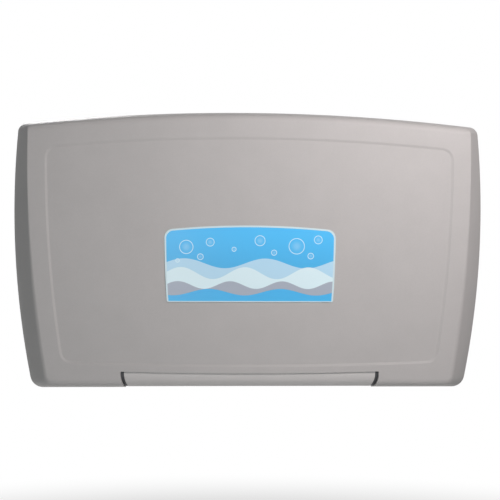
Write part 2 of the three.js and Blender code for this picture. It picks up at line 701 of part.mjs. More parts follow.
const PISTON_R = BORE_R - 0.4;
const ROD_END = STRUT_LENGTH - 16;
addPart('strut_rod', onStrut([
  [0, 95], [PISTON_R, 95], [PISTON_R, 101], [ROD_R, 101], [ROD_R, ROD_END], [0, ROD_END],
]), STEEL);
addPart('strut_rod_eye', rodX(EYE_R, CRANK_FACE, STRUT_X + EYE_HALF, ...CRANK_EYE).add(onStrut([
  [0, ROD_END + GAP], [5, ROD_END + GAP], [3, STRUT_LENGTH - 3], [0, STRUT_LENGTH - 3],
])), BLACK_STEEL);

// Fittings on the inner panel, inside the closed bed

const PANEL_FACE = -HOUSING_DEPTH - GAP;

const HOOK_X = 300;
const HOOK_WIDE = 16;
const HOOK_FOOT = 370;

// A flat strip on the panel, bent out and up: points are [distance from the panel, height above its foot].
function bagHook(side) {
  const [x0, x1] = span(side, HOOK_X - HOOK_WIDE / 2, HOOK_X + HOOK_WIDE / 2);
  const profile = [
    [4, 0], [6, 8], [18, 9], [22, 12], [25, 31], [21, 32], [18, 17], [4, 20], [4, 56], [0, 56], [0, 0],
  ].map(([out, up]) => [PANEL_FACE - out, HOOK_FOOT + up]);
  return alongX(profile, x0, x1);
}

bothSides((name, side) => {
  addPart(`bag_hook_${name}`, bagHook(side), STEEL);
  for (const [level, z] of [['lower', 110], ['upper', 464]]) {
    const crown = PANEL_FACE - 2.4;
    const profile = [[0, crown], [5, crown], [7, PANEL_FACE - 1.4], [7, PANEL_FACE], [0, PANEL_FACE]];
    addPart(`bumper_${level}_${name}`, turnedY(profile, side * 408, z, 16), RUBBER);
  }
});

// Strap, buckle and label on the bed

const STRAP_BACK = FLOOR_Y + GAP;
const STRAP_INNER = 44;
const STRAP_OUTER = 276;

// Webbing that lies on the tray with two slack waves, as it does when unfastened.
function strap(side) {
  const steps = 24;
  const wave = (t) => STRAP_BACK + 5 * Math.sin(2 * Math.PI * t) ** 2 * Math.sin(Math.PI * t);
  const under = Array.from({ length: steps + 1 }, (_, k) => {
    const t = k / steps;
    return [side * (STRAP_INNER + (STRAP_OUTER - STRAP_INNER) * t), wave(t)];
  });
  const over = under.slice().reverse().map(([x, y]) => [x, y + 2]);
  return alongZ([...under, ...over], STRAP_Z - STRAP_WIDE / 2, STRAP_Z + STRAP_WIDE / 2);
}

function strapAnchor(side) {
  const [x0, x1] = span(side, STRAP_OUTER + 1, STRAP_OUTER + 46);
  const [s0, s1] = span(side, STRAP_OUTER + 6, STRAP_OUTER + 12);
  return roundedBox(x0, x1, STRAP_Z - 28, STRAP_Z + 28, 8, STRAP_BACK, STRAP_BACK + 3)
    .subtract(box([s0, STRAP_BACK - 5, STRAP_Z - 20], [s1, STRAP_BACK + 9, STRAP_Z + 20]));
}

function buckleSocket() {
  const top = STRAP_BACK + 15;
  return roundedBox(-43.5, 6, STRAP_Z - 25, STRAP_Z + 25, 7, STRAP_BACK, top)
    .subtract(box([-26, STRAP_BACK + 4.6, STRAP_Z - 17], [16, STRAP_BACK + 10, STRAP_Z + 17]))
    .subtract(roundedBox(-33, -9, STRAP_Z - 13, STRAP_Z + 13, 4, STRAP_BACK + 7.6, top + 5));
}

function buckleTongue() {
  return roundedBox(6.4, 43.5, STRAP_Z - 22, STRAP_Z + 22, 7, STRAP_BACK, STRAP_BACK + 12)
    .add(box([-22, STRAP_BACK + 5.4, STRAP_Z - 14], [12, STRAP_BACK + 7.4, STRAP_Z + 14]));
}

bothSides((name, side) => {
  addPart(`strap_${name}`, strap(side), WEBBING);
  addPart(`strap_anchor_${name}`, strapAnchor(side), NYLON);
});
addPart('buckle_socket', buckleSocket(), NYLON);
addPart('buckle_tongue', buckleTongue(), NYLON);
addPart('buckle_button', roundedBox(-32.6, -9.4, STRAP_Z - 12.6, STRAP_Z + 12.6, 3.6,
  STRAP_BACK + 11.2, STRAP_BACK + 16.2), RUBBER);

const LABEL = {
  half: 158.5, zWide: 302, sideR: 2000, zTop: 302, topR: 1500,
  zBottom: 160.5, bottomR: NEARLY_STRAIGHT, cornerTop: 16, cornerBottom: 4,
};
const LABEL_X = -0.9;
const LABEL_THICK = 0.8;
const labelRing = ring(LABEL).map(([x, z]) => [x + LABEL_X, z]);
const labelBack = PANEL_Y - GAP;
addPart('front_label', alongY(labelRing, labelBack - LABEL_THICK, labelBack), BLUE_PRINT);

station.position.z = -HEIGHT / 2;
export default station;
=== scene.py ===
"""Finish of a fold-down baby changing station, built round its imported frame."""
import json
import math

import bmesh
import bpy
from bpy.props import FloatProperty, FloatVectorProperty, PointerProperty
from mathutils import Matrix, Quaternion, Vector


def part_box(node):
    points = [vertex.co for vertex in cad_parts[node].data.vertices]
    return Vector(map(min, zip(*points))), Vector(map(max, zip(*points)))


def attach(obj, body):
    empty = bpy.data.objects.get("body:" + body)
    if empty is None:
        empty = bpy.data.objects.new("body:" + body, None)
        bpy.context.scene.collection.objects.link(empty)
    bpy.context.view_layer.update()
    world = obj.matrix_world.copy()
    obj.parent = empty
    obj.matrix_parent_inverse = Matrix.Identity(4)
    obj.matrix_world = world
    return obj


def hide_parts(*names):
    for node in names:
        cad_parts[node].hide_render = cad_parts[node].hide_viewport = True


bl_info = {
    "name": "Changing Station Finish",
    "version": (1, 0, 0),
    "blender": (4, 5, 0),
    "location": "3D View > Sidebar > Station",
    "description": "Builds the finished pieces of a fold-down baby changing station",
    "category": "Object",
}

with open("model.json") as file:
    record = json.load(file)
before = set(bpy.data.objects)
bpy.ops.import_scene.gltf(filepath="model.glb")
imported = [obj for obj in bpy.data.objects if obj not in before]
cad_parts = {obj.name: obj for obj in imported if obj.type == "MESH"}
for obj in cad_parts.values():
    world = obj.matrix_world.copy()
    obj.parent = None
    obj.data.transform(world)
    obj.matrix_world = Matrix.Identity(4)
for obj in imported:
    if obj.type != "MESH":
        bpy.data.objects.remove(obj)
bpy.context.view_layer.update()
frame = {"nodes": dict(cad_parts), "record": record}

# Places are worked out in millimetres, with z = 0 at the bed's bottom edge and the wall at y = 0.
MM = 0.001
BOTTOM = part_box("bed_cover")[0].z


def depth_of(node, end):
    """The y of a node's front (end 0) or back (end 1) face, in millimetres."""
    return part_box(node)[end].y / MM


FACE_Y = depth_of("bed_cover", 0)
RIM_Y = depth_of("bed_cover", 1)
HOUSING_Y = depth_of("inner_panel", 0)
AXIS_Y = sum(corner.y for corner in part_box("hinge_shaft")) / 2 / MM
AXIS_Z = (sum(corner.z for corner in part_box("hinge_shaft")) / 2 - BOTTOM) / MM
LABEL_X = sum(corner.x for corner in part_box("front_label")) / 2 / MM


class Outline:
    """A rounded front outline: arched sides, crowned top, bottom edge and four corners."""

    STEPS = {"bottom": 20, "corner": 8, "side": 36, "top": 28}

    def __init__(self, half, z_wide, side_r, top, top_r, bottom, bottom_r, corner_top, corner_bottom):
        self.half = half
        self.z_wide = z_wide
        self.side_r = side_r
        self.top = top
        self.top_r = top_r
        self.bottom = bottom
        self.bottom_r = bottom_r
        self.corner_top = corner_top
        self.corner_bottom = corner_bottom

    def inset(self, d):
        return Outline(
            self.half - d, self.z_wide, self.side_r - d, self.top - d, self.top_r - d,
            self.bottom + d, self.bottom_r - d,
            max(self.corner_top - d, 2.0), max(self.corner_bottom - d, 2.0),
        )

    @staticmethod
    def fillet(a, ra, b, rb, corner, upper):
        """Centre of a corner arc that touches two larger circles from inside."""
        dx, dz = b[0] - a[0], b[1] - a[1]
        apart = math.hypot(dx, dz)
        r1, r2 = ra - corner, rb - corner
        along = (r1 * r1 - r2 * r2 + apart * apart) / (2 * apart)
        across = math.sqrt(r1 * r1 - along * along)
        ends = [
            (a[0] + (along * dx - s * across * dz) / apart, a[1] + (along * dz + s * across * dx) / apart)
            for s in (1, -1)
        ]
        ends.sort(key=lambda point: point[1])
        return ends[1] if upper else ends[0]

    def ring(self):
        """The outline as (x, z) points, counter-clockwise from the middle of the bottom edge."""
        side = (self.half - self.side_r, self.z_wide)
        top = (0.0, self.top - self.top_r)
        bottom = (0.0, self.bottom + self.bottom_r)
        low = self.fillet(side, self.side_r, bottom, self.bottom_r, self.corner_bottom, False)
        high = self.fillet(side, self.side_r, top, self.top_r, self.corner_top, True)

        def angle(a, b):
            return math.degrees(math.atan2(b[1] - a[1], b[0] - a[0]))

        stretches = [
            (bottom, self.bottom_r, -90.0, angle(bottom, low), "bottom"),
            (low, self.corner_bottom, angle(bottom, low), angle(side, low), "corner"),
            (side, self.side_r, angle(side, low), angle(side, high), "side"),
            (high, self.corner_top, angle(side, high), angle(top, high), "corner"),
            (top, self.top_r, angle(top, high), 90.0, "top"),
        ]
        half = []
        for centre, radius, start, end, kind in stretches:
            half += arc(centre[0], centre[1], radius, start, end, self.STEPS[kind])[:-1]
        half.append((0.0, self.top))
        return half + [(-x, z) for x, z in reversed(half[1:-1])]


def arc(cu, cv, radius, start, end, steps):
    """Points of an arc, angles in degrees."""
    angles = [math.radians(start + (end - start) * k / steps) for k in range(steps + 1)]
    return [(cu + radius * math.cos(a), cv + radius * math.sin(a)) for a in angles]


STRAIGHT = 1e6
OUTLINE = Outline(440, 338, 1615, 516, 3750, 0, STRAIGHT, 17, 24)
CREASE = Outline(410.5, 430, 2355, 505, 3750, 8, STRAIGHT, 9, 18)
PANEL = Outline(377.5, 430, 2319, 464.5, 3710, 42, 8000, 22, 22)
HOUSING = Outline(434, 338, 1609, 502, 3486, 3.2, STRAIGHT, 20, 18)
MOUTH = Outline(394, 338, 1569, 470, 3704, 68, STRAIGHT, 34, 34)
LABEL = Outline(158.5, 302, 2000, 302, 1500, 160.5, STRAIGHT, 16, 4)

SKIN = 3.0
PANEL_STEP = 1.8
PANEL_STEP_START = -1.8
PANEL_STEP_WIDTH = 6.0
PANEL_Y = FACE_Y + PANEL_STEP
BEVEL_BACK = RIM_Y - 6
BARREL_R = 24.8
WELL_R = 25.4
BARREL_BOTTOM = AXIS_Z - BARREL_R
BARREL_HALF = 232.0
WELL_HALF = 238.3
END_CURL = 7.5
CENTRE_HALF = 223.0
LIP_Z = 29.3
NECK_TOP = AXIS_Z + 10
FLOOR_Y = -88.0
STRAP_Z = (sum(corner.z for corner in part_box("strap_right")) / 2 - BOTTOM) / MM


# Mesh building

def place(x, y, z):
    """A point in the frame, in metres."""
    return (x * MM, y * MM, z * MM + BOTTOM)


def new_piece(name, points, faces):
    """A closed mesh object from millimetre points, with its faces turned outwards."""
    mesh = bpy.data.meshes.new(name)
    mesh.from_pydata([place(*point) for point in points], [], faces)
    work = bmesh.new()
    work.from_mesh(mesh)
    bmesh.ops.remove_doubles(work, verts=work.verts, dist=1e-6)
    bmesh.ops.recalc_face_normals(work, faces=work.faces)
    work.to_mesh(mesh)
    work.free()
    piece = bpy.data.objects.new(name, mesh)
    bpy.context.scene.collection.objects.link(piece)
    return piece


def loft(name, rows, fan=(True, True)):
    """A closed skin through rows of equal length, each end closed by a fan or one face."""
    count = len(rows[0])
    points = [point for row in rows for point in row]
    faces = []
    for r in range(len(rows) - 1):
        for k in range(count):
            a, b = r * count + k, r * count + (k + 1) % count
            faces.append((a, b, b + count, a + count))
    for r, use_fan in ((0, fan[0]), (len(rows) - 1, fan[1])):
        loop = [r * count + k for k in range(count)]
        if use_fan:
            middle = tuple(sum(points[i][axis] for i in loop) / count for axis in range(3))
            points.append(middle)
            faces += [(loop[k], loop[(k + 1) % count], len(points) - 1) for k in range(count)]
        else:
            faces.append(tuple(loop))
    return new_piece(name, points, faces)


def row(y, ring):
    return [(x, y, z) for x, z in ring]


def mix_rings(ring_a, ring_b, t):
    return [(a[0] + (b[0] - a[0]) * t, a[1] + (b[1] - a[1]) * t) for a, b in zip(ring_a, ring_b)]


def along_x(name, section, x0, x1):
    """A section of (y, z) points drawn out along X."""
    return loft(name, [[(x, y, z) for y, z in section] for x in (x0, x1)], fan=(False, False))


def along_y(name, section, y0, y1):
    """A section of (x, z) points drawn out along Y."""
    return loft(name, [[(x, y, z) for x, z in section] for y in (y0, y1)], fan=(False, False))


def along_z(name, section, z0, z1):
    """A section of (x, y) points drawn out along Z."""
    return loft(name, [[(x, y, z) for x, y in section] for z in (z0, z1)], fan=(False, False))


def slab(name, low, high):
    section = [(low[0], low[2]), (high[0], low[2]), (high[0], high[2]), (low[0], high[2])]
    return along_y(name, section, low[1], high[1])


def round_rect(x0, x1, z0, z1, radius, steps=8):
    return (
        arc(x1 - radius, z0 + radius, radius, -90, 0, steps)
        + arc(x1 - radius, z1 - radius, radius, 0, 90, steps)
        + arc(x0 + radius, z1 - radius, radius, 90, 180, steps)
        + arc(x0 + radius, z0 + radius, radius, 180, 270, steps)
    )


def rounded(points, radius, steps=4):
    """A closed outline whose corners become curves that start up to radius before them."""
    curve = []
    count = len(points)
    for k in range(count):
        before, corner, after = (Vector(points[(k + j) % count]) for j in (-1, 0, 1))
        start = corner + (before - corner).normalized() * min(radius, (before - corner).length * 0.45)
        end = corner + (after - corner).normalized() * min(radius, (after - corner).length * 0.45)
        for j in range(steps + 1):
            s = j / steps
            curve.append(tuple(start * (1 - s) ** 2 + corner * (2 * s * (1 - s)) + end * s ** 2))
    return curve


def turned(name, profile, origin, axis, sides=40):
    """A turned piece: profile points are (radius, distance from origin along axis)."""
    line = Vector(axis).normalized()
    u = line.orthogonal().normalized()
    v = line.cross(u)
    rows = []
    for radius, distance in profile:
        centre = Vector(origin) + line * distance
        angles = [2 * math.pi * k / sides for k in range(sides)]
        rows.append([tuple(centre + (u * math.cos(a) + v * math.sin(a)) * radius) for a in angles])
    return loft(name, rows, fan=(False, False))


def rod_x(name, radius, x0, x1, y, z, sides=40):
    return turned(name, [(radius, x0), (radius, x1)], (0, y, z), (1, 0, 0), sides)


def bake(piece):
    """Turns the piece's modifiers into its plain mesh."""
    depsgraph = bpy.context.evaluated_depsgraph_get()
    depsgraph.update()
    mesh = bpy.data.meshes.new_from_object(piece.evaluated_get(depsgraph), depsgraph=depsgraph)
    old = piece.data
    piece.modifiers.clear()
    piece.data = mesh
    mesh.name = piece.name
    bpy.data.meshes.remove(old)
    return piece


def combine(piece, other, operation):
    modifier = piece.modifiers.new("combine", "BOOLEAN")
    modifier.operation = operation
    modifier.solver = "EXACT"
    modifier.object = other
    bake(piece)
    bpy.data.objects.remove(other, do_unlink=True)
    return piece


def cut(piece, *cutters):
    for cutter in cutters:
        combine(piece, cutter, "DIFFERENCE")
    return piece


def soften(piece, width, segments=3, angle=35.0):
    """Rounds the piece's sharp edges by a width in millimetres."""
    modifier = piece.modifiers.new("soften", "BEVEL")
    modifier.width = width * MM
    modifier.segments = segments
    modifier.limit_method = "ANGLE"
    modifier.angle_limit = math.radians(angle)
    modifier.use_clamp_overlap = True
    return bake(piece)


def join(name, pieces):
    """One object from several, each a closed shell of its own."""
    work = bmesh.new()
    for piece in pieces:
        work.from_mesh(piece.data)
        bpy.data.objects.remove(piece, do_unlink=True)
    mesh = bpy.data.meshes.new(name)
    work.to_mesh(mesh)
    work.free()
    joined = bpy.data.objects.new(name, mesh)
    bpy.context.scene.collection.objects.link(joined)
    return joined


def deliver(piece, body, slot, nodes=(), sharp=32.0, material=None):
    """Shades a finished piece, gives it its finish slot's material, hangs it on its body and hides the nodes
    it stands for.

    The shading is weighted by area, so flat faces stay flat beside their rounded edges.
    """
    piece.data.materials.clear()
    piece.data.materials.append(finish_of(material or slot))
    piece.data.shade_smooth()
    piece.data.set_sharp_from_angle(angle=math.radians(sharp))
    shading = piece.modifiers.new("shading", "WEIGHTED_NORMAL")
    shading.keep_sharp = True
    bake(piece)
    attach(piece, body)
    if nodes:
        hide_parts(*nodes)
    return piece


# Shader building

class Value:
    """A shader socket whose sums, differences, products and powers add Math nodes."""

    def __init__(self, finish, socket):
        self.finish = finish
        self.socket = socket

    def _math(self, operation, a, b):
        return self.finish.node("ShaderNodeMath", {"operation": operation}, {0: a, 1: b}, "Value")

    def __add__(self, other):
        return self._math("ADD", self, other)

    def __radd__(self, other):
        return self._math("ADD", other, self)

    def __sub__(self, other):
        return self._math("SUBTRACT", self, other)

    def __rsub__(self, other):
        return self._math("SUBTRACT", other, self)

    def __mul__(self, other):
        return self._math("MULTIPLY", self, other)

    def __rmul__(self, other):
        return self._math("MULTIPLY", other, self)

    def __truediv__(self, other):
        return self._math("DIVIDE", self, other)

    def __pow__(self, other):
        return self._math("POWER", self, other)


class Nodes:
    """A node tree that nodes are added to by one method."""

    def __init__(self, tree):
        self.tree = tree

    def node(self, kind, settings, inputs, output):
        """Adds a node, sets it up, feeds its sockets and returns the named output."""
        node = self.tree.nodes.new(kind)
        for key, value in settings.items():
            if key == "stops":
                self._stops(node.color_ramp, value)
            else:
                setattr(node, key, value)
        for key, value in inputs.items():
            socket = self._socket(node.inputs, key)
            for link in value if isinstance(value, list) else [value]:
                if isinstance(link, Value):
                    self.tree.links.new(link.socket, socket)
                else:
                    socket.default_value = link
        return Value(self, self._socket(node.outputs, output))

    @staticmethod
    def _stops(ramp, stops):
        while len(ramp.elements) < len(stops):
            ramp.elements.new(1.0)
        for element, (position, colour) in zip(ramp.elements, stops):
            element.position = position
            element.color = colour

    @staticmethod
    def _socket(sockets, key):
        if isinstance(key, int):
            return sockets[key]
        return next((s for s in sockets if s.identifier == key), None) or sockets[key]


class Finish(Nodes):
    """A node material with one Principled surface."""

    def __init__(self, name, constants):
        self.material = bpy.data.materials.new(name)
        self.material.use_nodes = True
        super().__init__(self.material.node_tree)
        self.surface = next(n for n in self.tree.nodes if n.type == "BSDF_PRINCIPLED")
        for socket, value in constants.items():
            self.surface.inputs[socket].default_value = value

    def feed(self, socket, value):
        self.tree.links.new(value.socket, self.surface.inputs[socket])

    def place(self):
        return self.node("ShaderNodeTexCoord", {}, {}, "Object")

    def axes(self):
        """The place's x, y and z in millimetres, z from the bed's bottom edge."""
        split = self.node("ShaderNodeSeparateXYZ", {}, {"Vector": self.place()}, "X")
        outputs = split.socket.node.outputs
        x, y, z = (Value(self, outputs[key]) for key in "XYZ")
        return x / MM, y / MM, (z - BOTTOM) / MM

    def noise(self, size, detail=2.0, roughness=0.5, vector=None):
        """Soft noise about 0.5 whose blotches are about size millimetres across."""
        inputs = {"Vector": vector or self.place(), "Scale": 1.0 / (size * MM), "Detail": detail}
        inputs["Roughness"] = roughness
        return self.node("ShaderNodeTexNoise", {}, inputs, "Fac")

    def step(self, value, low, high):
        """0 below low, 1 above high, smooth between."""
        inputs = {"Value": value, "From Min": low, "From Max": high}
        return self.node("ShaderNodeMapRange", {"interpolation_type": "SMOOTHSTEP"}, inputs, "Result")

    def mix(self, factor, a, b):
        inputs = {"Factor_Float": factor, "A_Color": a, "B_Color": b}
        return self.node("ShaderNodeMix", {"data_type": "RGBA"}, inputs, "Result_Color")

    def bump(self, height, strength, distance):
        """Relief of a height from 0 to 1, distance in millimetres."""
        inputs = {"Height": height, "Strength": strength, "Distance": distance * MM}
        self.feed("Normal", self.node("ShaderNodeBump", {}, inputs, "Normal"))


def tint(colour, factor):
    return tuple(channel * factor for channel in colour[:3]) + (1.0,)


def moulded_plastic(name, colour, grain, roughness):
    """Moulded polyethylene: soft mottling, fine mould grain and faint scuffs."""
    finish = Finish(name, {"Specular IOR Level": 0.2})
    mottle = finish.noise(70.0, 3.0, 0.6)
    speck = finish.noise(1.6, 2.0, 0.7)
    shade = mottle * 0.45 + speck * 0.55
    tone = finish.step(shade, 0.25, 0.75)
    finish.feed("Base Color", finish.mix(tone, tint(colour, 0.96), tint(colour, 1.04)))
    scuff = finish.step(finish.noise(26.0, 5.0, 0.75), 0.52, 0.8)
    finish.feed("Roughness", roughness + scuff * 0.1 + (speck - 0.5) * 0.12)
    relief = finish.noise(0.9, 3.0, 0.6) * grain + finish.noise(9.0, 1.0, 0.5) * 0.35
    finish.bump(relief, 0.22, 0.12)
    return finish.material


def metal(name, colour, roughness, grain_size):
    """Plated or ground steel with a fine drawn grain and cloudy patches."""
    finish = Finish(name, {"Metallic": 1.0})
    cloud = finish.noise(18.0, 3.0, 0.6)
    grain = finish.noise(grain_size, 2.0, 0.6)
    tone = finish.step(cloud, 0.3, 0.7)
    finish.feed("Base Color", finish.mix(tone, tint(colour, 0.88), tint(colour, 1.08)))
    finish.feed("Roughness", roughness + (cloud - 0.5) * 0.18 + (grain - 0.5) * 0.1)
    finish.bump(grain, 0.15, 0.05)
    return finish.material


def small_moulding(name, colour, roughness):
    """Nylon, rubber and paint on small pieces: fine grain and slight unevenness."""
    finish = Finish(name, {"Specular IOR Level": 0.4})
    grain = finish.noise(0.7, 3.0, 0.6)
    cloud = finish.noise(14.0, 2.0, 0.5)
    finish.feed("Base Color", finish.mix(cloud, tint(colour, 0.8), tint(colour, 1.25)))
    finish.feed("Roughness", roughness + (cloud - 0.5) * 0.2)
    finish.bump(grain, 0.2, 0.06)
    return finish.material


def station():
    return bpy.context.scene.station


def label_print(name):
    """Laminated print: rolling pale waves and loose bubbles on blue, inside a thin pale border."""
    finish = Finish(name, {"Coat Weight": 0.25, "Coat Roughness": 0.2, "Specular IOR Level": 0.4})
    colours = bpy.context.scene.station_colours
    x, _, z = finish.axes()
    x = x - LABEL_X
    colour = finish.mix(finish.step(z, 170, 310), tint(colours.label, 0.86), tint(colours.label, 1.12))
    waves = [
        (232, 9, 150, 0.4, colours.label_pale, 0.62),
        (214, 11, 118, 2.1, colours.label_pale, 1.0),
        (192, 7, 96, 4.0, colours.label_grey, 1.0),
        (179, 6, 132, 5.2, colours.label, 1.0),
    ]
    for level, swing, length, phase, wave_colour, strength in waves:
        angle = x * (2 * math.pi / length) + phase
        crest = level + swing * sine(finish, angle)
        covered = (1 - finish.step(z - crest, -0.4, 0.4)) * strength
        colour = finish.mix(covered, colour, tint(wave_colour, 1.0))
    bubbles = [
        (-118, 262, 13), (-92, 244, 6), (-74, 271, 8), (-30, 258, 4.5), (18, 274, 10), (44, 252, 5.5),
        (86, 264, 15), (112, 246, 6), (126, 276, 8), (-134, 237, 4),
    ]
    for bubble_x, bubble_z, radius in bubbles:
        away = ((x - bubble_x) ** 2 + (z - bubble_z) ** 2) ** 0.5
        rim = radius - 0.4
        ring = finish.step(away, radius - 2.2, rim) * (1 - finish.step(away, rim, radius + 0.4))
        glint = 1 - finish.step(away, 0.0, radius * 0.9)
        colour = finish.mix(ring * 0.75 + glint * 0.2, colour, tint(colours.label_pale, 1.08))
    side = LABEL.half - (LABEL.top - z) ** 2 / (2 * LABEL.side_r) - absolute(finish, x)
    top = LABEL.top - x ** 2 / (2 * LABEL.top_r) - z
    corner = LABEL.corner_top
    within = most(finish, corner - side, 0.0) ** 2 + most(finish, corner - top, 0.0) ** 2
    edge = least(finish, corner - within ** 0.5, (z - LABEL.bottom) * 1.6)
    colour = finish.mix(1 - finish.step(edge, 2.9, 3.5), colour, tint(colours.label_pale, 0.86))
    finish.feed("Base Color", colour)
    wear = finish.noise(22.0, 4.0, 0.65)
    finish.feed("Roughness", 0.3 + wear * 0.16)
    finish.bump(finish.noise(2.4, 2.0, 0.5), 0.08, 0.05)
    return finish.material


def sine(finish, angle):
    return finish.node("ShaderNodeMath", {"operation": "SINE"}, {0: angle}, "Value")


def absolute(finish, value):
    return finish.node("ShaderNodeMath", {"operation": "ABSOLUTE"}, {0: value}, "Value")


def least(finish, a, b):
    return finish.node("ShaderNodeMath", {"operation": "MINIMUM"}, {0: a, 1: b}, "Value")


def most(finish, a, b):
    return finish.node("ShaderNodeMath", {"operation": "MAXIMUM"}, {0: a, 1: b}, "Value")


def woven_webbing(name):
    """Herringbone webbing: slanted rows that change direction in bands, with plain selvedges."""
    finish = Finish(name, {"Sheen Weight": 0.25, "Specular IOR Level": 0.25})
    colour = bpy.context.scene.station_colours.webbing
    x, y, z = finish.axes()
    across = z - STRAP_Z
    band = finish.node("ShaderNodeMath", {"operation": "PINGPONG"}, {0: across, 1: 4.75}, "Value")
    slant = (x + band * 1.0) * (2 * math.pi / 1.9)
    row_height = sine(finish, slant) * 0.5 + 0.5
    yarn = sine(finish, across * (2 * math.pi / 0.95)) * 0.5 + 0.5
    height = row_height * 0.75 + yarn * 0.25
    fuzz = finish.noise(0.5, 3.0, 0.7)
    selvedge = finish.step(absolute(finish, across), 16.6, 17.4)
    # The weave's colour follows its relief: darker in the grooves and lighter on the ridges is painted shade
    # and light, with random fuzz on top.
    tone = finish.step(height + (fuzz - 0.5) * 0.5, 0.05, 0.95)
    shaded_weave = finish.mix(tone, tint(colour, 0.55), tint(colour, 1.3))
    finish.feed("Base Color", finish.mix(selvedge * 0.5, shaded_weave, tint(colour, 0.6)))
    finish.feed("Roughness", 0.72 + fuzz * 0.2)
    finish.bump(height + fuzz * 0.3, 0.6, 0.35)
    return finish.material


# The hinge barrel's plastic is the shell colour made lighter: partly a slightly lighter moulding, mostly
# painted light on its downward-facing curve.
HINGE_PAINTED_LIGHT = 1.24


def finish_of(slot):
    """The material of a finish slot, built on first use."""
    name = f"finished {slot}"
    if name in bpy.data.materials:
        return bpy.data.materials[name]
    colours = bpy.context.scene.station_colours
    recipes = {
        "shell_grey": lambda: moulded_plastic(name, colours.shell, 0.65, 0.5),
        "hinge_grey": lambda: moulded_plastic(name, tint(colours.shell, HINGE_PAINTED_LIGHT), 0.65, 0.5),
        "inner_grey": lambda: moulded_plastic(name, colours.inner, 0.4, 0.46),
        "zinc_steel": lambda: metal(name, (0.44, 0.45, 0.46), 0.36, 1.2),
        "bright_steel": lambda: metal(name, (0.47, 0.47, 0.48), 0.26, 0.6),
        "black_steel": lambda: small_moulding(name, (0.03, 0.03, 0.032), 0.42),
        "nylon": lambda: small_moulding(name, (0.045, 0.046, 0.05), 0.5),
        "red_plastic": lambda: small_moulding(name, (0.42, 0.05, 0.04), 0.45),
        "rubber": lambda: small_moulding(name, (0.02, 0.02, 0.022), 0.8),
        "webbing": lambda: woven_webbing(name),
        "thread": lambda: small_moulding(name, (0.2, 0.22, 0.26), 0.75),
        "label_print": lambda: label_print(name),
    }
    return recipes[slot]()


# Repeated shapes

class Repeat(Nodes):
    """A Geometry Nodes tree that sets one shape on every point, turned as the point says."""

    def __init__(self, name, sizes):
        super().__init__(bpy.data.node_groups.new(name, "GeometryNodeTree"))
        sockets = self.tree.interface
        sockets.new_socket("Geometry", in_out="OUTPUT", socket_type="NodeSocketGeometry")
        sockets.new_socket("Points", in_out="INPUT", socket_type="NodeSocketGeometry")
        for size in sizes:
            sockets.new_socket(size, in_out="INPUT", socket_type="NodeSocketFloat")
        sockets.new_socket("Material", in_out="INPUT", socket_type="NodeSocketMaterial")
        self.entry = self.tree.nodes.new("NodeGroupInput")

    def given(self, name):
        return Value(self, self.entry.outputs[name])

    def triple(self, x, y, z):
        return self.node("ShaderNodeCombineXYZ", {}, {"X": x, "Y": y, "Z": z}, "Vector")

    def ball(self, segments, rings):
        inputs = {"Segments": segments, "Rings": rings, "Radius": 1.0}
        return self.node("GeometryNodeMeshUVSphere", {}, inputs, "Mesh")

    def cube(self, size):
        return self.node("GeometryNodeMeshCube", {}, {"Size": size}, "Mesh")

    def moved(self, shape, **how):
        return self.node("GeometryNodeTransform", {}, {"Geometry": shape, **how}, "Geometry")

    def finish(self, shape):
        """Sets the shape on the points, makes it real and gives it its material."""
        settings = {"data_type": "FLOAT_VECTOR"}
        turn = self.node("GeometryNodeInputNamedAttribute", settings, {"Name": "turn"}, "Attribute")
        inputs = {"Points": self.given("Points"), "Instance": shape, "Rotation": turn}
        copies = self.node("GeometryNodeInstanceOnPoints", {}, inputs, "Instances")
        real = self.node("GeometryNodeRealizeInstances", {}, {"Geometry": copies}, "Geometry")
        inputs = {"Geometry": real, "Material": self.given("Material")}
        done = self.node("GeometryNodeSetMaterial", {}, inputs, "Geometry")
        output = self.tree.nodes.new("NodeGroupOutput")
        self.tree.links.new(done.socket, output.inputs["Geometry"])
        return self.tree


def bead_tree():
    """A small rounded bead along local X that stands up along local Y, for stitches and grip ribs."""
    name = "bead"
    if name in bpy.data.node_groups:
        return bpy.data.node_groups[name]
    tree = Repeat(name, ["Length", "Height", "Width"])
    half = [tree.given(size) * 0.5 for size in ("Length", "Height", "Width")]
    return tree.finish(tree.moved(tree.ball(10, 6), Scale=tree.triple(*half)))


def screw_tree():
    """A pan-head screw with a cross recess, its head standing up along local Y."""
    name = "screw"
    if name in bpy.data.node_groups:
        return bpy.data.node_groups[name]
    tree = Repeat(name, ["Radius", "Height"])
    radius, height = tree.given("Radius"), tree.given("Height")
    dome = tree.moved(tree.ball(28, 14), Scale=tree.triple(radius, radius, height))
    block = tree.cube(tree.triple(radius * 4, radius * 4, radius * 4))
    below = tree.moved(block, Translation=tree.triple(0.0, 0.0, radius * -2))
    long, slim, deep = radius * 1.15, radius * 0.26, height * 1.1
    bars = [
        tree.moved(tree.cube(tree.triple(x, y, deep)), Translation=tree.triple(0.0, 0.0, height))
        for x, y in ((long, slim), (slim, long))
    ]
    inputs = {"Mesh 1": dome, "Mesh 2": [below, *bars]}
    head = tree.node("GeometryNodeMeshBoolean", {"operation": "DIFFERENCE"}, inputs, "Mesh")
    return tree.finish(tree.moved(head, Rotation=(-math.pi / 2, 0.0, 0.0)))


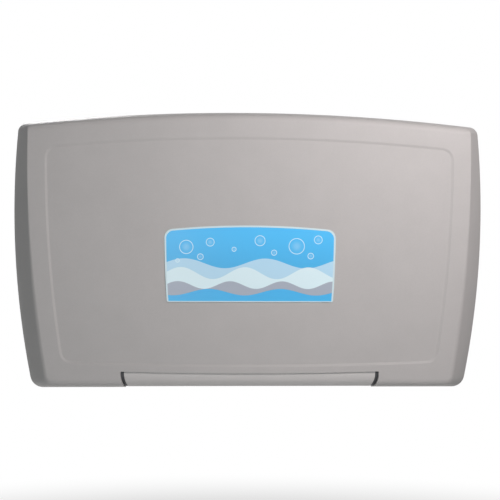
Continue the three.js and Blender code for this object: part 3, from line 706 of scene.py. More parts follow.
def repeat(name, tree, spots, sizes, slot):
    """One plain mesh of a tree's shape on spots of (x, y, z, turn), sizes in millimetres."""
    mesh = bpy.data.meshes.new(name)
    mesh.from_pydata([place(*spot[:3]) for spot in spots], [], [])
    turns = mesh.attributes.new("turn", "FLOAT_VECTOR", "POINT")
    for item, spot in zip(turns.data, spots):
        item.vector = spot[3]
    piece = bpy.data.objects.new(name, mesh)
    bpy.context.scene.collection.objects.link(piece)
    modifier = piece.modifiers.new("repeat", "NODES")
    modifier.node_group = tree
    values = {size: value * MM for size, value in sizes.items()}
    values["Material"] = finish_of(slot)
    for socket in tree.interface.items_tree:
        if socket.in_out == "INPUT" and socket.name in values:
            modifier[socket.identifier] = values[socket.name]
    return bake(piece)


# Settings

class StationSizes(bpy.types.PropertyGroup):
    """Sizes that a user would change."""

    side_radius: FloatProperty(
        name="Side crease", description="Rounding where the front face meets the side bevels",
        default=5.0 * MM, unit="LENGTH",
    )
    end_radius: FloatProperty(
        name="Top crease", description="Rounding where the front face meets the top and bottom bevels",
        default=14.0 * MM, unit="LENGTH",
    )
    webbing_thickness: FloatProperty(
        name="Webbing thickness", description="Thickness of the strap webbing",
        default=1.5 * MM, unit="LENGTH",
    )
    camera_turn: FloatProperty(
        name="Camera turn", description="Angle of the camera to the left of square on",
        default=math.radians(2.7), subtype="ANGLE",
    )
    camera_distance: FloatProperty(
        name="Camera distance", description="Camera to the middle of the front",
        default=2.0, unit="LENGTH",
    )


class StationColours(bpy.types.PropertyGroup):
    """Colours that a user would change."""

    shell: FloatVectorProperty(
        name="Shell", description="Outer moulded plastic", subtype="COLOR", default=(0.455, 0.443, 0.437),
    )
    inner: FloatVectorProperty(
        name="Inner", description="Tray and inner panel plastic", subtype="COLOR", default=(0.56, 0.54, 0.53),
    )
    label: FloatVectorProperty(
        name="Label", description="Main colour of the label", subtype="COLOR", default=(0.058, 0.45, 0.83),
    )
    label_pale: FloatVectorProperty(
        name="Label pale", description="Waves and border of the label", subtype="COLOR",
        default=(0.68, 0.855, 0.91),
    )
    label_grey: FloatVectorProperty(
        name="Label grey", description="Grey wave of the label", subtype="COLOR",
        default=(0.366, 0.413, 0.49),
    )
    webbing: FloatVectorProperty(
        name="Webbing", description="Strap webbing", subtype="COLOR", default=(0.05, 0.065, 0.095),
    )


# Bed

def end_x(half, z):
    """Half the length of the barrel or its well at height z: the ends curl in towards the bottom."""
    share = min(max((LIP_Z - z) / (LIP_Z - BARREL_BOTTOM), 0.0), 1.0)
    return half - END_CURL * share ** 2


def end_to_end(half, top_edge):
    """Front view of that length, from below the barrel up to a top edge of (x, z) points."""
    levels = [-10.0] + [BARREL_BOTTOM + (LIP_Z - BARREL_BOTTOM) * k / 12 for k in range(13)]
    right = [(end_x(half, z), z) for z in levels]
    return right + top_edge + [(-x, z) for x, z in reversed(right)]


def between_ends(half):
    """Everything between the two curled ends at that length."""
    return along_y("ends", end_to_end(half, [(half, 80), (-half, 80)]), FACE_Y - 10, RIM_Y + 20)


def well_cutter(name, grow):
    """The space that the hinge barrel takes out of the bed, grown by a wall thickness."""
    radius = WELL_R + grow
    half = WELL_HALF + grow
    neck = NECK_TOP + 1 + grow
    start = math.degrees(math.asin((neck - AXIS_Z) / radius))
    section = [(RIM_Y + 10, neck)] + arc(AXIS_Y, AXIS_Z, radius, start, 180, 40)
    section += [(AXIS_Y - radius, -10), (RIM_Y + 10, -10)]
    room = along_x(name, section, -300, 300)
    combine(room, between_ends(half), "INTERSECT")
    spread = [half * (1 - k / 20) for k in range(41)]
    lip = [(x, LIP_Z + grow + x ** 2 / (2 * PANEL.bottom_r)) for x in spread]
    return combine(room, along_y("front", end_to_end(half, lip), FACE_Y - 10, AXIS_Y), "UNION")


BEVEL_SWELL = 0.3
DEEP = 14.0


def side_softness(z):
    """How soft a side bevel is at height z: crisp near the top, rounder towards the bottom."""
    return 1.12 - 0.7 * smooth(z, 110.0, 400.0)


def crease_rows(side_mm, end_mm):
    """Rows of the bevel round the bed and its rounded crease, softer along the top and bottom."""
    back, crease, inner = OUTLINE.ring(), CREASE.ring(), CREASE.inset(DEEP).ring()
    sizes, swells = [], []
    for k, point in enumerate(crease):
        after, before = crease[(k + 1) % len(crease)], crease[k - 1]
        dx, dz = after[0] - before[0], after[1] - before[1]
        level = dx * dx / (dx * dx + dz * dz)
        softness = side_softness(point[1]) * (1 - level)
        sizes.append(side_mm * softness + end_mm * level)
        swells.append(BEVEL_SWELL * (softness + level))
    run = FACE_Y - BEVEL_BACK
    rows = []
    for k in range(11):
        line = []
        for a, b, size, swell in zip(back, crease, sizes, swells):
            t = (1 - 0.72 * size / abs(run)) * k / 10
            s = t - swell * t * (1 - t)
            line.append((a[0] + (b[0] - a[0]) * s, BEVEL_BACK + run * t, a[1] + (b[1] - a[1]) * s))
        rows.append(line)
    start = rows.pop()
    corner = row(FACE_Y, crease)
    end = []
    for a, b, size in zip(crease, inner, sizes):
        s = 0.8 * size / DEEP
        end.append((a[0] + (b[0] - a[0]) * s, FACE_Y, a[1] + (b[1] - a[1]) * s))
    for k in range(9):
        s = k / 8
        rows.append([
            tuple((1 - s) ** 2 * a[i] + 2 * s * (1 - s) * b[i] + s * s * c[i] for i in range(3))
            for a, b, c in zip(start, corner, end)
        ])
    return rows


def cover_outside():
    rim = [(RIM_Y, 2.6), (RIM_Y - 0.2, 1.6), (RIM_Y - 0.8, 0.8), (RIM_Y - 2, 0.25), (RIM_Y - 4, 0.0)]
    rows = [row(y, OUTLINE.inset(d).ring()) for y, d in rim]
    rows += crease_rows(station().side_radius / MM, station().end_radius / MM)
    rows.append(recessed(0.0, PANEL.inset(-8.0).ring()))
    for k in range(9):
        inset = PANEL_STEP_START + PANEL_STEP_WIDTH * k / 8
        rows.append(recessed(smooth(k, 0, 8), PANEL.inset(inset).ring()))
    rows.append(recessed(1.0, PANEL.inset(12.0).ring()))
    middle = PANEL.inset(12.0).ring()
    hub = [(0.0, 255.0)] * len(middle)
    rows += [recessed(1.0, mix_rings(middle, hub, t)) for t in (0.35, 0.7)]
    return loft("bed_shell", rows)


def recessed(share, ring):
    """A ring set back by a share of the panel's depth, which grows a little towards the bottom."""
    low, high = 1.42 * PANEL_STEP, 0.86 * PANEL_STEP
    slope = (high - low) / (PANEL.top - PANEL.bottom)
    return [(x, FACE_Y + share * (low + slope * (z - PANEL.bottom)), z) for x, z in ring]


def cover_inside():
    rings = [
        (RIM_Y + 5, OUTLINE.inset(SKIN + 0.4).ring()),
        (BEVEL_BACK, OUTLINE.inset(SKIN + 0.4).ring()),
        (-90, mix_rings(OUTLINE.inset(SKIN + 0.6).ring(), CREASE.inset(SKIN + 0.6).ring(), 0.68)),
        (-95.5, CREASE.inset(SKIN + 1.6).ring()),
        (PANEL_Y + SKIN, CREASE.inset(SKIN + 5).ring()),
    ]
    return loft("inside", [row(y, ring) for y, ring in rings])


class STATION_OT_bed_shell(bpy.types.Operator):
    """Moulds the bed's outer shell with its bevels, recessed panel and hinge well"""

    bl_idname = "station.bed_shell"
    bl_label = "Bed Shell"

    def execute(self, context):
        shell = cover_outside()
        inside = cut(cover_inside(), well_cutter("grown_well", SKIN))
        hole = rod_x("hole", 7.6, -WELL_HALF - 20, WELL_HALF + 20, AXIS_Y, AXIS_Z)
        cut(shell, well_cutter("well", 0.0))
        soften(shell, 0.9, 3, 50)
        cut(shell, inside, hole)
        deliver(shell, "bed", "shell_grey", ["bed_cover"])
        return {"FINISHED"}


def tray_rows():
    """Rows of the tray from its floor up the walls, over the flange and back under to the floor."""
    back = RIM_Y - 0.4
    inside = [
        (FLOOR_Y, 60), (FLOOR_Y, 46), (FLOOR_Y + 0.5, 44), (FLOOR_Y + 0.9, 41), (FLOOR_Y + 0.5, 38),
        (FLOOR_Y, 36), (FLOOR_Y, 20), (FLOOR_Y + 0.7, 14.5), (FLOOR_Y + 2.6, 10), (FLOOR_Y + 5.4, 7),
        (FLOOR_Y + 9, 5.2), (FLOOR_Y + 18, 3.4),
        (back - 3.0, 1.3), (back - 1.2, 0.4), (back - 0.35, -0.9), (back, -3),
    ]
    rim = [(back, 5.4), (back - 0.3, 4.4), (back - 1.2, 3.8), (back - SKIN, 3.8)]
    outside = [(back - SKIN, -SKIN - 1), (FLOOR_Y + 18, 0), (FLOOR_Y + 4, 3), (FLOOR_Y - SKIN, 10)]
    rows = [row(y, MOUTH.inset(d).ring()) for y, d in inside]
    rows += [row(y, OUTLINE.inset(d).ring()) for y, d in rim]
    rows += [row(y, MOUTH.inset(d).ring()) for y, d in outside]
    return rows


class STATION_OT_bed_tray(bpy.types.Operator):
    """Moulds the tray that the child lies in, with its rolled edge and flange"""

    bl_idname = "station.bed_tray"
    bl_label = "Bed Tray"

    def execute(self, context):
        tray = loft("tray", tray_rows())
        room = round_rect(-WELL_HALF - 7, WELL_HALF + 7, -60, AXIS_Z + WELL_R, 8)
        cut(tray, along_y("well_room", room, FACE_Y, RIM_Y + 10))
        deliver(tray, "bed", "inner_grey", ["bed_tray"])
        return {"FINISHED"}


# The label's back reaches this far into the panel, whose depth grows towards the bottom.
LABEL_SEAT = 0.5


class STATION_OT_label(bpy.types.Operator):
    """Adds the printed label plate on the recessed panel"""

    bl_idname = "station.label"
    bl_label = "Label"

    def execute(self, context):
        front = depth_of("front_label", 0)
        back = depth_of("front_label", 1) + LABEL_SEAT
        rows = []
        for y, d in ((back, 0.0), (front + 0.25, 0.0), (front + 0.07, 0.08), (front, 0.3), (front, 6.0)):
            rows.append([(x + LABEL_X, y, z) for x, z in LABEL.inset(d).ring()])
        deliver(loft("label_plate", rows), "bed", "label_print", ["front_label"])
        return {"FINISHED"}


# Housing

EAR_FOOT_Y = -24.0
EAR_TOP_Z = 64.0
SLOT_HALF = 14.0
STRUT_X = 150.0
LAG_X = 203.0
LAG_Z = (100.0, 260.0, 420.0)


def mirrored(x0, x1):
    """The span x0 to x1 on the right, and its mirror on the left."""
    return [(x0, x1), (-x1, -x0)]


def ear_cutters(offset):
    """Wedges behind the ends of the bed's lower edge, where the ends swing through."""
    rise = EAR_TOP_Z - HOUSING.bottom
    run = HOUSING_Y - EAR_FOOT_Y
    foot = EAR_FOOT_Y + offset * math.hypot(run, rise) / rise
    front = foot + 1.8 * run
    section = [(foot, HOUSING.bottom), (front, HOUSING.bottom + 1.8 * rise), (front, -10), (foot, -10)]
    return [
        along_x("ear", section, x0, x1)
        for x0, x1 in mirrored(CENTRE_HALF + 1 - offset, OUTLINE.half + 10)
    ]


class STATION_OT_back_shell(bpy.types.Operator):
    """Moulds the housing's back shell with ribbed pockets and lag bolt holes in its wall face"""

    bl_idname = "station.back_shell"
    bl_label = "Back Shell"

    def execute(self, context):
        front = HOUSING_Y + SKIN
        edge = [(0.0, 4.0), (-0.35, 2.3), (-1.2, 1.0), (-2.6, 0.25), (-4.4, 0.0), (front, 0.0)]
        shell = loft("back_shell_moulding", [row(y, HOUSING.inset(d).ring()) for y, d in edge])
        inside = loft("inside", [row(y, HOUSING.inset(SKIN).ring()) for y in (-SKIN, front - 5)])
        cut(inside, *ear_cutters(SKIN))
        cut(shell, *ear_cutters(0.0))
        soften(shell, 1.2, 3, 40)
        cut(shell, inside)
        for x0, x1 in [(-160, -8), (8, 160)] + mirrored(246, 396):
            for z0, z1 in ((104, 252), (268, 420)):
                cut(shell, along_y("pocket", round_rect(x0, x1, z0, z1, 10), -1.5, 5))
        lag_hole = [(5.5, -10), (5.5, -1.2), (7.2, 0.4), (7.2, 5)]
        for x in (-LAG_X, LAG_X):
            for z in LAG_Z:
                cut(shell, turned("lag", lag_hole, (x, 0, z), (0, 1, 0), 28))
        deliver(shell, "housing", "shell_grey", ["back_shell"])
        return {"FINISHED"}


MOUTH_HALF = 103.0
MOUTH_LOW = 298.0
MOUTH_HIGH = 391.0


class STATION_OT_inner_panel(bpy.types.Operator):
    """Moulds the housing's inner panel with the liner mouth and its lip"""

    bl_idname = "station.inner_panel"
    bl_label = "Inner Panel"

    def execute(self, context):
        back = depth_of("inner_panel", 1)
        panel = along_y("panel", HOUSING.ring(), HOUSING_Y, back)
        neck = slab("neck", (-CENTRE_HALF - 2, -60, -10), (CENTRE_HALF + 2, -40, NECK_TOP + 0.6))
        slot = along_y("slot", round_rect(STRUT_X - SLOT_HALF, STRUT_X + SLOT_HALF, 20, 158, 3), -60, -40)
        mouth = along_y("mouth", round_rect(-MOUTH_HALF, MOUTH_HALF, MOUTH_LOW, MOUTH_HIGH, 3), -60, -40)
        cut(panel, *ear_cutters(0.0), neck, slot, mouth)
        soften(panel, 0.7, 3, 40)
        lip_profile = [
            (0.0, back + 0.6), (0.0, -52.6), (0.5, -53.6), (1.6, -54.2), (3.0, -53.9), (5.2, -51.6),
            (7.0, HOUSING_Y - 0.1), (7.0, HOUSING_Y + 0.8), (2.6, back + 0.6),
        ]
        rows = []
        for grow, y in lip_profile:
            half, low, high = MOUTH_HALF + grow, MOUTH_LOW - grow, MOUTH_HIGH + grow
            rows.append(row(y, round_rect(-half, half, low, high, 3 + grow)))
        combine(panel, tube("lip", rows), "UNION")
        deliver(panel, "housing", "inner_grey", ["inner_panel"])
        return {"FINISHED"}


def tube(name, rows):
    """A closed ring-shaped skin through rows that return to the first."""
    count = len(rows[0])
    points = [point for line in rows for point in line]
    faces = []
    for r in range(len(rows)):
        for k in range(count):
            a, b = r * count + k, r * count + (k + 1) % count
            following = (r + 1) % len(rows) * count
            faces.append((a, b, following + (k + 1) % count, following + k))
    return new_piece(name, points, faces)


class STATION_OT_liner_pocket(bpy.types.Operator):
    """Moulds the pocket behind the panel that holds paper liners"""

    bl_idname = "station.liner_pocket"
    bl_label = "Liner Pocket"

    def execute(self, context):
        low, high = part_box("liner_pocket")
        half, front, back = high.x / MM, low.y / MM, high.y / MM
        z0, z1 = (low.z - BOTTOM) / MM, (high.z - BOTTOM) / MM
        wall = 2.5
        pocket = soften(along_y("pocket", round_rect(-half, half, z0, z1, 12), front, back), 1.5, 3, 50)
        hollow = round_rect(-half + wall, half - wall, z0 + wall, z1 - wall, 10)
        cut(pocket, soften(along_y("hollow", hollow, front - 9, back - wall), 4.0, 4, 50))
        pocket.name = "liner_pocket_moulding"
        deliver(pocket, "housing", "inner_grey", ["liner_pocket"])
        return {"FINISHED"}


def barrel_section(radius, top, bottom, back):
    start = math.degrees(math.asin((top - AXIS_Z) / radius))
    return [(back, top)] + arc(AXIS_Y, AXIS_Z, radius, start, 270, 56) + [(back, bottom)]


class STATION_OT_hinge_cover(bpy.types.Operator):
    """Moulds the fixed barrel over the hinge shaft with its curled ends"""

    bl_idname = "station.hinge_cover"
    bl_label = "Hinge Cover"

    def execute(self, context):
        back = depth_of("hinge_cover", 1)
        section = barrel_section(BARREL_R, NECK_TOP, BARREL_BOTTOM, back)
        barrel = along_x("barrel", section, -BARREL_HALF, BARREL_HALF)
        combine(barrel, between_ends(BARREL_HALF), "INTERSECT")
        tip = BARREL_HALF + 9
        for x0, x1 in mirrored(CENTRE_HALF, tip):
            cut(barrel, slab("shoulder", (x0, AXIS_Y, -10), (x1, -30, 80)))
        soften(barrel, 1.4, 3, 32)
        hollow = barrel_section(BARREL_R - SKIN, NECK_TOP - SKIN, BARREL_BOTTOM + SKIN, back + 5)
        cut(barrel, along_x("hollow", hollow, -CENTRE_HALF + SKIN, CENTRE_HALF - SKIN))
        cut(barrel, slab("slot", (STRUT_X - SLOT_HALF, AXIS_Y - 3, 20), (STRUT_X + SLOT_HALF, -30, 80)))
        cut(barrel, rod_x("shaft_hole", 7.6, -BARREL_HALF - 5, BARREL_HALF + 5, AXIS_Y, AXIS_Z))
        barrel.name = "hinge_barrel"
        # The barrel's lightened plastic is partly a lighter moulding and partly painted light on its
        # downward-facing curve.
        deliver(barrel, "housing", "shell_grey", ["hinge_cover"], material="hinge_grey")
        return {"FINISHED"}


class STATION_OT_strut_hood(bpy.types.Operator):
    """Moulds the hood over the slot that the strut rod swings through"""

    bl_idname = "station.strut_hood"
    bl_label = "Strut Hood"

    def execute(self, context):
        low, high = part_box("strut_shroud")
        foot, front = high.y / MM, low.y / MM
        z0, z1 = (low.z - BOTTOM) / MM, (high.z - BOTTOM) / MM
        half = (high.x - low.x) / 2 / MM
        outer = [(foot, z0), (foot, z1), (-57, z1 - 20), (front, z0 + 38), (front, z0)]
        inner = [(foot + 6, z0 - 9), (foot + 6, z1 + 9), (-55, z1 - 23)]
        inner += [(front + 2, z0 + 37), (front + 2, z0 - 9)]
        hood = soften(along_x("strut_hood", outer, STRUT_X - half, STRUT_X + half), 2.6, 4, 12)
        cut(hood, along_x("inside", inner, STRUT_X - half + 2, STRUT_X + half - 2))
        cut(hood, slab("foot", (STRUT_X - half - 5, foot, z0 - 5), (STRUT_X + half + 5, foot + 5, z1 + 5)))
        deliver(hood, "housing", "inner_grey", ["strut_shroud"])
        return {"FINISHED"}


class STATION_OT_slot_shade_rings(bpy.types.Operator):
    """Adds dark nylon rings in the slots between the barrel's ends and the bed, painted shade standing in for
    the deep shade there
    """

    bl_idname = "station.end_rings"
    bl_label = "End Rings"

    def execute(self, context):
        for side, name in ((-1, "left"), (1, "right")):
            x0, x1 = sorted((side * CENTRE_HALF, side * WELL_HALF))
            # Each ring fills the front of its slot with dark nylon: painted shade for the shade deep inside
            # the slot.
            ring = rod_x(f"end_ring_{name}", BARREL_R - 0.6, x0, x1, AXIS_Y, AXIS_Z, 96)
            combine(ring, between_ends(WELL_HALF - 0.5), "INTERSECT")
            cut(ring, between_ends(BARREL_HALF + 0.3))
            cut(ring, slab("back_half", (x0 - 5, AXIS_Y, -10), (x1 + 5, AXIS_Y + 2 * BARREL_R, 80)))
            cut(ring, rod_x("shaft_hole", 7.6, x0 - 5, x1 + 5, AXIS_Y, AXIS_Z))
            deliver(ring, "housing", "nylon", [f"hinge_end_ring_{name}"])
        return {"FINISHED"}


class STATION_OT_bag_hooks(bpy.types.Operator):
    """Bends the two bag hooks on the inner panel"""

    bl_idname = "station.bag_hooks"
    bl_label = "Bag Hooks"

    def execute(self, context):
        strip = [
            (4, 0), (6, 8), (18, 9), (22, 12), (25, 31), (21, 32),
            (18, 17), (4, 20), (4, 56), (0, 56), (0, 0),
        ]
        for name in ("bag_hook_left", "bag_hook_right"):
            low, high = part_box(name)
            face, foot = high.y / MM, (low.z - BOTTOM) / MM
            curve = rounded([(face - out, foot + up) for out, up in strip], 5.0, 6)
            hook = along_x(f"formed_{name}", curve, low.x / MM, high.x / MM)
            deliver(soften(hook, 1.3, 3, 50), "housing", "bright_steel", [name])
        return {"FINISHED"}


class STATION_OT_bumpers(bpy.types.Operator):
    """Moulds the four rubber bumpers that the tray's flange rests against"""

    bl_idname = "station.bumpers"
    bl_label = "Bumpers"

    def execute(self, context):
        profile = [
            (7.0, 0.0), (7.0, 0.9), (6.7, 1.5), (5.9, 2.0), (4.6, 2.3), (3.0, 2.4),
            (2.5, 2.25), (2.3, 1.9), (2.2, 0.7), (0.4, 0.7),
        ]
        for level in ("lower", "upper"):
            for side in ("left", "right"):
                name = f"bumper_{level}_{side}"
                low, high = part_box(name)
                middle = (low + high) / 2
                origin = (middle.x / MM, high.y / MM, (middle.z - BOTTOM) / MM)
                bumper = turned(f"rubber_{name}", profile, origin, (0, -1, 0), 48)
                deliver(bumper, "housing", "rubber", [name])
        return {"FINISHED"}


# Strap, anchors and buckle

STRAP_BACK = depth_of("buckle_socket", 0)
STRAP_INNER = 44.0
BAR_X = 285.0
BAR_Y = FLOOR_Y + 5.2
BAR_R = 2.2
TAIL_X = 240.0


def smooth(x, low, high):
    """0 below low, 1 above high, eased between."""
    t = min(max((x - low) / (high - low), 0.0), 1.0)
    return t * t * (3 - 2 * t)


def strap_path(thick):
    """(x, y) of the webbing's middle: out of the buckle, over slack waves, round the bar and back."""
    base = FLOOR_Y + thick / 2 + 0.15
    loop = BAR_R + thick / 2 + 0.1
    lapped = base + thick + 0.15
    path = []
    for k in range(110):
        x = STRAP_INNER - 6 + (BAR_X - STRAP_INNER + 6) * k / 109
        t = min(max((x - STRAP_INNER - 14) / (TAIL_X - STRAP_INNER - 22), 0.0), 1.0)
        wave = 5.5 * math.sin(2 * math.pi * t) ** 2 * math.sin(math.pi * t)
        y = base + wave + 4.3 * (1 - smooth(x, STRAP_INNER + 1, STRAP_INNER + 20))
        y += (lapped - base) * smooth(x, TAIL_X - 12, TAIL_X - 2)
        path.append((x, y + (BAR_Y + loop - lapped) * smooth(x, 268, BAR_X)))
    path += arc(BAR_X, BAR_Y, loop, 84, -90, 14)
    for k in range(1, 31):
        x = BAR_X - (BAR_X - TAIL_X) * k / 30
        path.append((x, base + (BAR_Y - loop - base) * smooth(x, 268, BAR_X)))
    return path


def webbing(name, path, side, thick):
    """A woven strip along a path, with rounded edges, mirrored for side -1."""
    half, h = 19.0, thick / 2
    top = [(-half + 0.15, 0.5 * h), (-half + 0.6, h), (-9, h), (0, h)]
    top += [(-z, up) for z, up in reversed(top[:-1])]
    edge = [(-half, 0.0)] + top + [(half, 0.0)] + [(z, -up) for z, up in reversed(top)]
    rows = []
    for k, (x, y) in enumerate(path):
        after, before = path[min(k + 1, len(path) - 1)], path[max(k - 1, 0)]
        along = Vector((after[0] - before[0], after[1] - before[1])).normalized()
        rows.append([(side * (x - along.y * up), y + along.x * up, STRAP_Z + z) for z, up in edge])
    return loft(name, rows)


def stitch_spots(side, y):
    """A boxed cross of stitches where the webbing is sewn to itself."""
    x0, x1, half = TAIL_X + 4, 266.0, 14.5
    corners = [(x0, -half), (x1, -half), (x1, half), (x0, half)]
    lines = [(corners[k], corners[(k + 1) % 4]) for k in range(4)]
    lines += [(corners[0], corners[2]), (corners[1], corners[3])]
    spots = []
    for (xa, za), (xb, zb) in lines:
        count = round(math.hypot(xb - xa, zb - za) / 3.0)
        angle = math.atan2(zb - za, side * (xb - xa))
        for k in range(count):
            s = (k + 0.5) / count
            x, z = xa + (xb - xa) * s, za + (zb - za) * s
            spots.append((side * x, y, STRAP_Z + z, (0.0, -angle, 0.0)))
    return spots


class STATION_OT_straps(bpy.types.Operator):
    """Lays the two webbing straps in the tray and sews their looped ends"""

    bl_idname = "station.straps"
    bl_label = "Straps"

    def execute(self, context):
        thick = station().webbing_thickness / MM
        path = strap_path(thick)
        length = sum(math.dist(a, b) for a, b in zip(path, path[1:]))
        for side, name in ((-1, "left"), (1, "right")):
            strap = webbing(f"webbing_{name}", path, side, thick)
            deliver(strap, "bed", "webbing", [f"strap_{name}"])
            top = FLOOR_Y + 2 * thick + 0.3
            sizes = {"Length": 2.5, "Height": 0.7, "Width": 0.8}
            stitches = repeat(f"stitches_{name}", bead_tree(), stitch_spots(side, top), sizes, "thread")
            deliver(stitches, "bed", "webbing", material="thread")
        return {"FINISHED"}


class STATION_OT_anchors(bpy.types.Operator):
    """Moulds the strap anchors: a plate with a raised bar for the webbing's loop"""

    bl_idname = "station.anchors"
    bl_label = "Strap Anchors"

    def execute(self, context):
        for side, name in ((-1, "left"), (1, "right")):
            x0, x1 = sorted((side * 277, side * 322))
            plan = round_rect(x0, x1, STRAP_Z - 28, STRAP_Z + 28, 8)
            plate = along_y(f"anchor_{name}", plan, STRAP_BACK, STRAP_BACK + 3)
            x0, x1 = sorted((side * 278.5, side * 292.5))
            for z0, z1 in ((STRAP_Z - 26.5, STRAP_Z - 20.2), (STRAP_Z + 20.2, STRAP_Z + 26.5)):
                cheek = along_y("cheek", round_rect(x0, x1, z0, z1, 2.5, 4), STRAP_BACK + 1, BAR_Y + 3.6)
                combine(plate, soften(cheek, 1.2, 3, 50), "UNION")
            cut(plate, slab("gap", (x0 - 2, STRAP_BACK - 2, STRAP_Z - 20.2), (x1, 0, STRAP_Z + 20.2)))
            bar = turned("bar", [(BAR_R, -22), (BAR_R, 22)], (side * BAR_X, BAR_Y, STRAP_Z), (0, 0, 1), 24)
            combine(plate, bar, "UNION")
            deliver(soften(plate, 0.6, 2, 60), "bed", "nylon", [f"strap_anchor_{name}"])
        return {"FINISHED"}


def grip_ribs(name, xs, y, half):
    spots = [(x, y, STRAP_Z, (0.0, math.pi / 2, 0.0)) for x in xs]
    return repeat(name, bead_tree(), spots, {"Length": 2 * half, "Height": 1.6, "Width": 1.7}, "nylon")


class STATION_OT_buckle(bpy.types.Operator):
    """Moulds the buckle's socket, tongue and release button"""

    bl_idname = "station.buckle"
    bl_label = "Buckle"

    def execute(self, context):
        top = STRAP_BACK + 15
        body = along_y("buckle_body", round_rect(-43.5, 6, STRAP_Z - 25, STRAP_Z + 25, 7), STRAP_BACK, top)
        soften(body, 2.4, 4, 50)
        cut(body, slab("mouth", (-26, STRAP_BACK + 4.6, STRAP_Z - 17), (16, STRAP_BACK + 10, STRAP_Z + 17)))
        window = round_rect(-33, -9, STRAP_Z - 13, STRAP_Z + 13, 4)
        cut(body, along_y("window", window, STRAP_BACK + 7.6, top + 5))
        cut(body, slab("entry", (-50, STRAP_BACK + 2.4, STRAP_Z - 20), (-35, STRAP_BACK + 7.4, STRAP_Z + 20)))
        deliver(soften(body, 0.5, 2, 60), "bed", "nylon", ["buckle_socket"])
        ribs = grip_ribs("buckle_body_ribs", (-6, -3, 0), top, 15)
        deliver(ribs, "bed", "nylon")

        front = STRAP_BACK + 12
        plan = round_rect(6.4, 43.5, STRAP_Z - 22, STRAP_Z + 22, 7)
        tongue = along_y("buckle_tab", plan, STRAP_BACK, front)
        soften(tongue, 2.2, 4, 50)
        plan = round_rect(-22, 12, STRAP_Z - 14, STRAP_Z + 14, 3)
        blade = along_y("blade", plan, STRAP_BACK + 5.4, STRAP_BACK + 7.4)
        combine(tongue, blade, "UNION")
        cut(tongue, slab("entry", (35, STRAP_BACK + 2.4, STRAP_Z - 20), (50, STRAP_BACK + 7.4, STRAP_Z + 20)))
        deliver(soften(tongue, 0.5, 2, 60), "bed", "nylon", ["buckle_tongue"])
        ribs = grip_ribs("buckle_tab_ribs", (14, 18, 22, 26, 30), front, 14)
        deliver(ribs, "bed", "nylon")

        plan = round_rect(-32.6, -9.4, STRAP_Z - 12.6, STRAP_Z + 12.6, 3.6)
        button = along_y("release_button", plan, STRAP_BACK + 11.2, STRAP_BACK + 16.2)
        soften(button, 1.3, 4, 50)
        dish = turned("dish", [(0.5, -1.2), (4.0, -1.1), (7.0, -0.7), (9.5, 0.1), (9.5, 4.0)],
                      (-21, STRAP_BACK + 16.2, STRAP_Z), (0, 1, 0), 48)
        deliver(cut(button, dish), "button", "red_plastic", ["buckle_button"])
        return {"FINISHED"}


def side_x(outline, z):
    """Where an outline's side arc is at height z."""
    return outline.half - (z - outline.z_wide) ** 2 / (2 * outline.side_r)


def top_z(outline, x):
    """Where an outline's crowned top is at x."""
    return outline.top - x ** 2 / (2 * outline.top_r)


class STATION_OT_screws(bpy.types.Operator):
    """Adds the screws of the tray's flange, the inner panel, the hooks and the strap anchors"""

    bl_idname = "station.screws"
    bl_label = "Screws"

    def execute(self, context):
        inset = 21.0
        flange = [(x, top_z(OUTLINE, x) - inset) for x in (-310, -155, 0, 155, 310)]
        flange += [(side * (side_x(OUTLINE, z) - inset), z) for side in (-1, 1) for z in (160, 260, 360)]
        flange += [(-310, 34), (310, 34)]
        spots = self.spots(flange, depth_of("bed_tray", 1) - 0.15, 0.0)
        screws = repeat("flange_screws", screw_tree(), spots, {"Radius": 4.2, "Height": 1.5}, "zinc_steel")
        deliver(screws, "bed", "zinc_steel")
        anchors = [(side * 309, STRAP_Z + dz) for side in (-1, 1) for dz in (-15, 15)]
        spots = self.spots(anchors, STRAP_BACK + 2.9, 0.0)
        screws = repeat("anchor_screws", screw_tree(), spots, {"Radius": 4.2, "Height": 2.0}, "zinc_steel")
        deliver(screws, "bed", "zinc_steel")
        right = [(60, 440), (220, 432), (352, 300), (350, 150), (225, 100), (60, 100)]
        panel = [(side * x, z) for side in (-1, 1) for x, z in right]
        spots = self.spots(panel, HOUSING_Y + 0.15, math.pi)
        screws = repeat("panel_screws", screw_tree(), spots, {"Radius": 4.4, "Height": 2.0}, "zinc_steel")
        deliver(screws, "housing", "zinc_steel")
        low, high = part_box("bag_hook_right")
        middle, foot = (low.x + high.x) / 2 / MM, (low.z - BOTTOM) / MM
        hooks = [(side * middle, foot + up) for side in (-1, 1) for up in (29, 47)]
        spots = self.spots(hooks, high.y / MM - 3.9, math.pi)
        screws = repeat("hook_screws", screw_tree(), spots, {"Radius": 3.6, "Height": 1.8}, "zinc_steel")
        deliver(screws, "housing", "zinc_steel")
        return {"FINISHED"}

    @staticmethod
    def spots(places, y, flip):
        """Screw places on a face at depth y, each with its cross turned a little differently."""
        return [(x, y, z, (flip, 0.7 * k, 0.0)) for k, (x, z) in enumerate(places)]


# Stage

FILL = 0.1
KEY_COLOUR = (1.0, 0.93, 0.925)
FRONT_COLOUR = (0.92, 0.98, 1.0)


